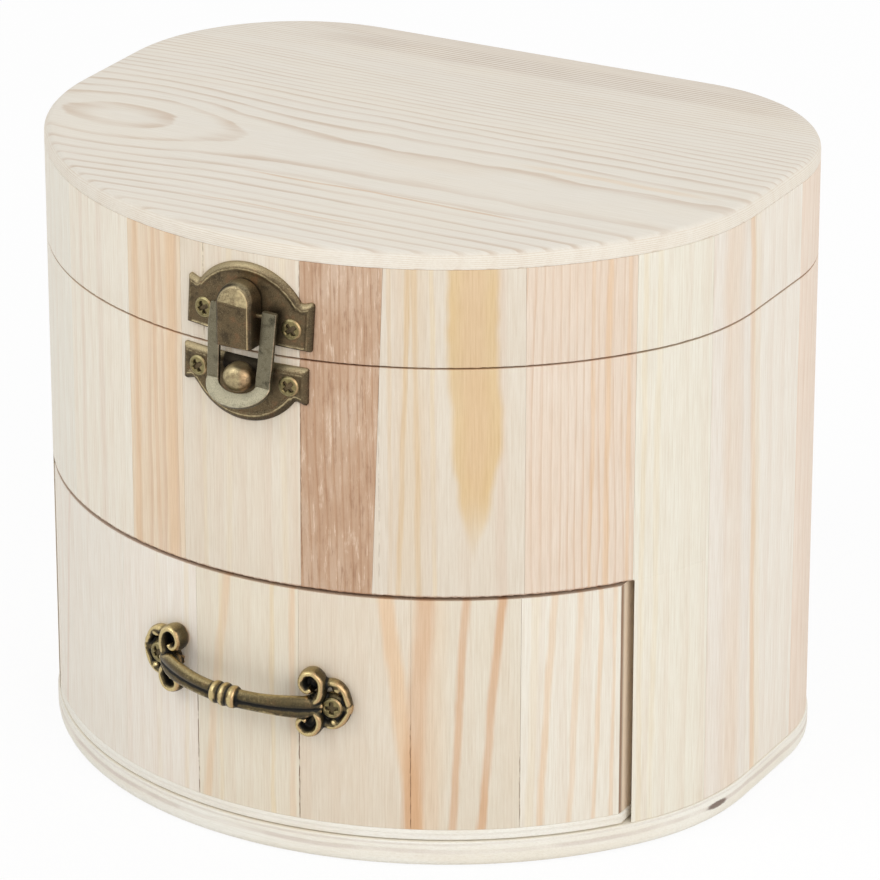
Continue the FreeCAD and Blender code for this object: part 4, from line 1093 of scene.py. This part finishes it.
# Handle: a bowed bar with a triple collar, each end split into two curled leaves
handleLook = {
    "shift": -2.4,
    "level": 46.15,
    "screw": 25.8,
    "turn": -4.3,
    "bow": 8.8,
    "arc": 35.97,
    # Bars: rise and radius
    "bars": [(0.85, 1.55), (-1.5, 1.25)],
    "reach": 23.4,
    # Collar: radius and place along the bar
    "collar": [(0.01, -3.7), (2.3, -3.7), (2.85, -3.3), (3.05, -2.45), (2.85, -1.6), (2.35, -1.25),
               (2.95, -0.8), (3.2, 0), (2.95, 0.8), (2.35, 1.25), (2.85, 1.6), (3.05, 2.45), (2.85, 3.3),
               (2.3, 3.7), (0.01, 3.7)],
    # Leaves: their line from the screw, width, depth, middle height, taper
    "leaves": [
        ([(-7.4, 0.5), (-5.0, 1.0), (-3.3, 2.6), (-2.7, 5.2), (-3.2, 7.8), (-5.0, 9.3), (-7.0, 8.8),
          (-8.0, 6.9), (-7.6, 5.0), (-6.2, 4.2), (-5.1, 5.0)], 1.3, 2.5, 2.5, 0.75),
        ([(-7.4, -0.5), (-5.0, -1.1), (-3.2, -2.6), (-2.7, -4.8), (-3.7, -7.0), (-5.6, -7.8), (-7.5, -6.9),
          (-8.0, -5.2), (-7.0, -3.9), (-5.9, -4.4)], 1.2, 2.3, 2.3, 0.75),
        ([(-2.9, 5.4), (-1.2, 6.7), (0.8, 6.6), (2.6, 5.2), (3.6, 3.2), (4.2, 1.6)], 1.2, 1.7, 1.4, 0.8),
        ([(-2.9, -3.8), (-1.2, -5.0), (0.8, -5.0), (2.5, -3.9), (3.6, -2.2), (4.2, -0.6)], 1.1, 1.6, 1.3, 0.8)],
    # Balls: place from the screw, height off the front, three radii
    "balls": [
        (1.2, 5.6, 1.6, (1.7, 1.4, 1.6)), (1.0, -4.3, 1.4, (1.6, 1.3, 1.5)), (4.3, 0.5, 1.4, (1.1, 2.2, 1.5)),
        (3.4, 0.4, 1.2, (1.2, 1.5, 1.3)), (0, 0, 0.4, (3.9, 3.9, 1.9)), (-4.2, 0.3, 1.0, (2.6, 3.2, 1.7)),
        (-6.0, 0.2, 2.6, (2.0, 2.3, 2.1)), (-5.4, 6.6, 1.0, (2.5, 2.6, 1.2)),
        (-5.5, -5.5, 0.9, (2.4, 2.2, 1.1))],
}
handleTurn = radians(handleLook["turn"])
alongHandle = Vector((cos(handleTurn), 0, sin(handleTurn)))
upHandle = Vector((-sin(handleTurn), 0, cos(handleTurn)))


def handlePoint(side, a, b, out):
    u = side * (handleLook["screw"] + a)
    across = handleLook["shift"] + u * cos(handleTurn) - b * sin(handleTurn)
    return onFront(across, out, handleLook["level"] + u * sin(handleTurn) + b * cos(handleTurn))


def curve(points, steps=8):  # smooth line through the given points
    path = []
    padded = [points[0]] + points + [points[-1]]
    for index in range(1, len(padded) - 2):
        p0, p1, p2, p3 = [Vector(item) for item in padded[index - 1:index + 3]]
        for step in range(steps):
            t = step / steps
            path.append(0.5 * (2 * p1 + (p2 - p0) * t + (2 * p0 - 5 * p1 + 4 * p2 - p3) * t * t
                               + (3 * p1 - p0 - 3 * p2 + p3) * t ** 3))
    path.append(Vector(points[-1]))
    return path


def leaf(shape, side, points, wide, deep, middle, taper):
    path = curve(points)
    last = len(path) - 1
    rings = []
    for index, point in enumerate(path):
        along = (path[min(last, index + 1)] - path[max(0, index - 1)]).normalized()
        size = wide * (1 - (1 - taper) * (index / last))
        if index in (0, last):
            size *= 0.5
        rings.append([handlePoint(side, point.x - along.y * size * cosine, point.y + along.x * size * cosine,
                                  middle + deep * sine) for cosine, sine in circle(16)])
    shape.skin(rings)


def ball(shape, side, a, b, out, sizes):
    rings = []
    for row in range(13):
        radius = max(0.02, sin(pi * row / 12))
        rings.append([handlePoint(side, a + sizes[0] * radius * cosine, b + sizes[1] * radius * sine,
                                  out + sizes[2] * cos(pi * row / 12)) for cosine, sine in circle(20)])
    shape.skin(rings)


def handleBar(shape, rise, size):
    bow = handleLook["arc"]
    rings = []
    for index in range(61):
        u = handleLook["reach"] * (index / 30 - 1)
        flare = 1 + 0.22 * smooth(8, 20, abs(u)) - 0.6 * smooth(20, 23.4, abs(u))
        depth = sqrt(bow ** 2 - u * u)
        lean = atan2(u, depth)
        centre = Vector((handleLook["shift"], faceY - handleLook["bow"] + bow - depth, handleLook["level"]))
        centre = alongHandle * u + centre + upHandle * rise * flare
        outward = Vector((sin(lean) * cos(handleTurn), -cos(lean), sin(lean) * sin(handleTurn)))
        rings.append([centre + upHandle * size * flare * sine + outward * size * cosine
                      for cosine, sine in circle(20)])
    shape.skin(rings)


def handle():
    shape = Shape()
    for bar in handleLook["bars"]:
        handleBar(shape, *bar)
    centre = Vector((handleLook["shift"], faceY - handleLook["bow"], handleLook["level"]))
    turned(shape, handleLook["collar"], centre, alongHandle, Vector((0, -1, 0)))
    for side in (-1, 1):
        for item in handleLook["leaves"]:
            leaf(shape, side, *item)
        for item in handleLook["balls"]:
            ball(shape, side, *item)
    shape.marks = {}
    piece = shape.build("drawerHandle")
    modifier = piece.modifiers.new("cast", "REMESH")
    modifier.mode = "VOXEL"
    modifier.voxel_size = 0.28 * mm
    modifier.use_smooth_shade = True
    modifier = piece.modifiers.new("soften", "SMOOTH")
    modifier.factor = 0.5
    modifier.iterations = 3
    return applied(piece)


# Wear and painted light from the form itself: how far each point stands off its smoothed surroundings; ridges
# turn bright as rubbing and painted highlight, hollows dark as patina and painted shade
def markWearAndShading(mesh, rounds):
    def read(items, field, width, kind=float):
        values = numpy.empty(len(items) * width, dtype=kind)
        items.foreach_get(field, values)
        return values.reshape(-1, width)

    places = read(mesh.vertices, "co", 3)
    normals = read(mesh.vertices, "normal", 3)
    edges = read(mesh.edges, "vertices", 2, numpy.int64)
    count = len(places)
    joined = numpy.bincount(edges.ravel(), minlength=count)[:, None]
    relaxed = places.copy()
    for number in range(rounds):
        total = numpy.zeros_like(relaxed)
        for axis in range(3):
            for near, far in ((0, 1), (1, 0)):
                total[:, axis] += numpy.bincount(edges[:, near], relaxed[edges[:, far], axis], count)
        relaxed = relaxed * 0.4 + total / joined * 0.6
    stand = ((places - relaxed) * normals).sum(axis=1)
    low, middle, high = numpy.percentile(stand, (8, 50, 92))
    stand = (stand - middle) / numpy.where(stand > middle, high - middle, middle - low)
    addMark(mesh, "wear", numpy.clip(stand, -1, 1))


drawerHandle = handle()
markWearAndShading(drawerHandle.data, 26)
finishPiece(drawerHandle, castBronze, "drawer", "drawer_handle")
print("handle made:", len(drawerHandle.data.vertices), "points")


# Screws: one cross-headed screw set wherever a point says, by Geometry Nodes
screwLook = {
    "head": 2.75,
    "dome": 0.45,
    "rim": 0.35,
    "armLength": 1.75,
    "armWidth": 0.54,
    "recess": 0.85,
}


def screwHead():
    radius, dome, rim, length, armWidth, recess = screwLook.values()

    def reach(x):
        return sqrt(radius * radius - x * x)

    def front(x, y):
        far = hypot(x, y) / radius
        height = rim + dome * (1 - far * far) - 0.25 * smooth(0.86, 1.0, far)
        sunk = 0.0
        for a, b in ((abs(x), abs(y)), (abs(y), abs(x))):
            width = armWidth * (1.15 - 0.35 * a / length)
            sunk = max(sunk, smooth(width + 0.12, width - 0.1, b) * smooth(length + 0.1, length - 0.35, a))
        # rim and recess edges made bright as rubbing and painted highlight, the cross recess dark as patina and
        # painted shade
        wear = 0.25 + 0.5 * hump(far, 0.9, 0.07) - 1.6 * smooth(0.2, 0.9, sunk)
        wear += 0.4 * hump(sunk, 0.2, 0.18)
        return height - recess * sunk, max(-1.0, wear)

    shape = Shape()
    relief(shape, spread(radius * 0.996, 54), 54, lambda x: -reach(x), reach, front,
           lambda x, y, height: -0.7, lambda x, height, y: Vector((x, y, height)), 2)
    return shape.build("screwHead", 60)


def screwTree():
    tree = bpy.data.node_groups.new("setScrews", "GeometryNodeTree")
    for name, way, kind in (("Geometry", "INPUT", "Geometry"), ("Screw", "INPUT", "Object"),
                            ("Size", "INPUT", "Float"), ("Metal", "INPUT", "Material"),
                            ("Geometry", "OUTPUT", "Geometry")):
        tree.interface.new_socket(name, in_out=way, socket_type="NodeSocket" + kind)
    inputs = tree.nodes.new("NodeGroupInput")
    given = {socket.name: Wire(tree, socket) for socket in inputs.outputs if socket.name}
    make = given["Geometry"].make
    facing, spin = [make("GeometryNodeInputNamedAttribute", {"data_type": kind}, {"Name": name})
                    for name, kind in (("facing", "FLOAT_VECTOR"), ("spin", "FLOAT"))]
    level = make("FunctionNodeAlignRotationToVector", {"axis": "Z"}, {"Vector": facing})
    spun = make("FunctionNodeAxisAngleToRotation", None, {"Axis": (0, 0, 1), "Angle": spin})
    turning = make("FunctionNodeRotateRotation", {"rotation_space": "LOCAL"},
                   {"Rotation": level, "Rotate By": spun})
    screw = make("GeometryNodeObjectInfo", None, {"Object": given["Screw"]}, "Geometry")
    placed = make("GeometryNodeInstanceOnPoints", None,
                  {"Points": given["Geometry"], "Instance": screw, "Rotation": turning, "Scale": given["Size"]})
    real = make("GeometryNodeRealizeInstances", None, {"Geometry": placed})
    dressed = make("GeometryNodeSetMaterial", None, {"Geometry": real, "Material": given["Metal"]})
    tree.links.new(dressed.socket, tree.nodes.new("NodeGroupOutput").inputs[0])
    return tree


oneScrew = screwHead()
setScrews = screwTree()


def screws(name, body, node, size, places):  # places: point, facing, spin
    points, facings, spins = zip(*places)
    mesh = bpy.data.meshes.new(name)
    mesh.from_pydata([[value * mm for value in point] for point in points], [], [])
    addMark(mesh, "facing", facings)
    addMark(mesh, "spin", spins)
    piece = newObject(name, mesh)
    modifier = piece.modifiers.new("screws", "NODES")
    modifier.node_group = setScrews
    values = {"Screw": oneScrew, "Size": size, "Metal": screwMetal}
    for item in setScrews.interface.items_tree:
        if item.in_out == "INPUT" and item.name in values:
            modifier[item.identifier] = values[item.name]
    finishPiece(applied(piece), screwMetal, body, node)


def frontScrew(point, spin):  # a screw that faces straight off the round front
    turn = point.x / plan["frontRadius"]
    return point, Vector((sin(turn), -cos(turn), 0)), spin


for name, body, node, spins in (("latchLidScrews", "lid", "latch_lid_screws", (0.35, 0.75)),
                                ("latchCaseScrews", "case", "latch_case_screws", (0.5, 0.9))):
    plate = latchLook[body]
    screws(name, body, node, 1.0, [
        frontScrew(platePlace(plate, side * plate["screwOut"], latchLook["faceHeight"], plate["screw"]), spin)
        for side, spin in zip((-1, 1), spins)])
screws("handleScrews", "drawer", "handle_screws", 1.03,
       [frontScrew(handlePoint(side, 0, 0, 2.1), spin) for side, spin in ((-1, 0.4), (1, 0.25))])
for name, body, node, level in (("hingeCaseScrews", "case", "hinge_case_screws", 129.7),
                                ("hingeLidScrews", "lid", "hinge_lid_screws", 145.7)):
    screws(name, body, node, 0.69, [((x, 84.65, level), (0, 1, 0), 0.4 + 0.7 * number)
                                    for number, x in enumerate((-38.5, -25.5, 25.5, 38.5))])
bpy.data.objects.remove(oneScrew)

softCopies([(node + side, edge, bronze, body) for node, edge, body in (
    ("hinge_case_leaf", 0.25, "case"), ("hinge_lid_leaf", 0.25, "lid"), ("hinge_pin", 0.15, "case"))
    for side in ("_left", "_right")])
print("screws and hinges made")


# Floor, light and camera

def whiteRays(tree):  # rays that should meet a white studio
    rays = tree.nodes.new("ShaderNodeLightPath")
    seen = Wire(tree, rays.outputs["Is Camera Ray"]).atLeast(Wire(tree, rays.outputs["Is Glossy Ray"]))
    return seen.atLeast(Wire(tree, rays.outputs["Is Transmission Ray"]))


# A tree that shows one shader to those rays and another to the rest
def studioTree(tree, output, share, plain, plainValues, white):
    tree.nodes.clear()
    start = Wire(tree, None)
    first = start.make(plain, None, plainValues)
    second = start.make(white, None, {"Color": (1, 1, 1, 1), "Strength": 1.0})
    mixed = start.make("ShaderNodeMixShader", None, {0: whiteRays(tree) * share, 1: first, 2: second})
    tree.links.new(mixed.socket, tree.nodes.new(output).inputs["Surface"])


floorMaterial = bpy.data.materials.new("paleFloor")
floorMaterial.use_nodes = True
studioTree(floorMaterial.node_tree, "ShaderNodeOutputMaterial", 0.9, "ShaderNodeBsdfDiffuse",
           {"Color": (0.94, 0.94, 0.94, 1)}, "ShaderNodeEmission")
floorMesh = bpy.data.meshes.new("floor")
floorMesh.from_pydata([(-6, -6, 0), (6, -6, 0), (6, 6, 0), (-6, 6, 0)], [], [(0, 1, 2, 3)])
floorMesh.materials.append(floorMaterial)
newObject("floor", floorMesh)

world = bpy.data.worlds.new("studio")
scene.world = world
world.use_nodes = True
studioTree(world.node_tree, "ShaderNodeOutputWorld", 1.0, "ShaderNodeBackground",
           {"Color": (1, 1, 1, 1), "Strength": 0.65}, "ShaderNodeBackground")

lamps = {  # place, target, size, power
    "key": ((-0.75, -1.25, 1.35), (0, 0, 0.07), 0.9, 8.2),
    "fill": ((1.45, -0.75, 0.85), (0, 0, 0.08), 1.2, 11.0),
    "rim": ((0.2, 1.3, 1.3), (0, 0, 0.1), 1.0, 4.0),
}
for name, (place, target, size, power) in lamps.items():
    light = bpy.data.lights.new(name, "AREA")
    light.size = size
    light.energy = power
    lamp = newObject(name, light)
    lamp.location = place
    lamp.rotation_euler = (Vector(target) - Vector(place)).to_track_quat("-Z", "Y").to_euler()

view = {"place": (0.66594, -1.2024, 0.65104), "yaw": 28.52, "pitch": 22.38, "focal": 5621.0}
lens = bpy.data.cameras.new("photoCamera")
lens.sensor_width = 36
lens.lens = view["focal"] / 880 * 36
lens.clip_end = 50
camera = newObject("photoCamera", lens)
camera.location = view["place"]
camera.rotation_euler = (radians(90 - view["pitch"]), 0, radians(view["yaw"]))
scene.camera = camera
scene.view_settings.view_transform = "Standard"
print("stage made")
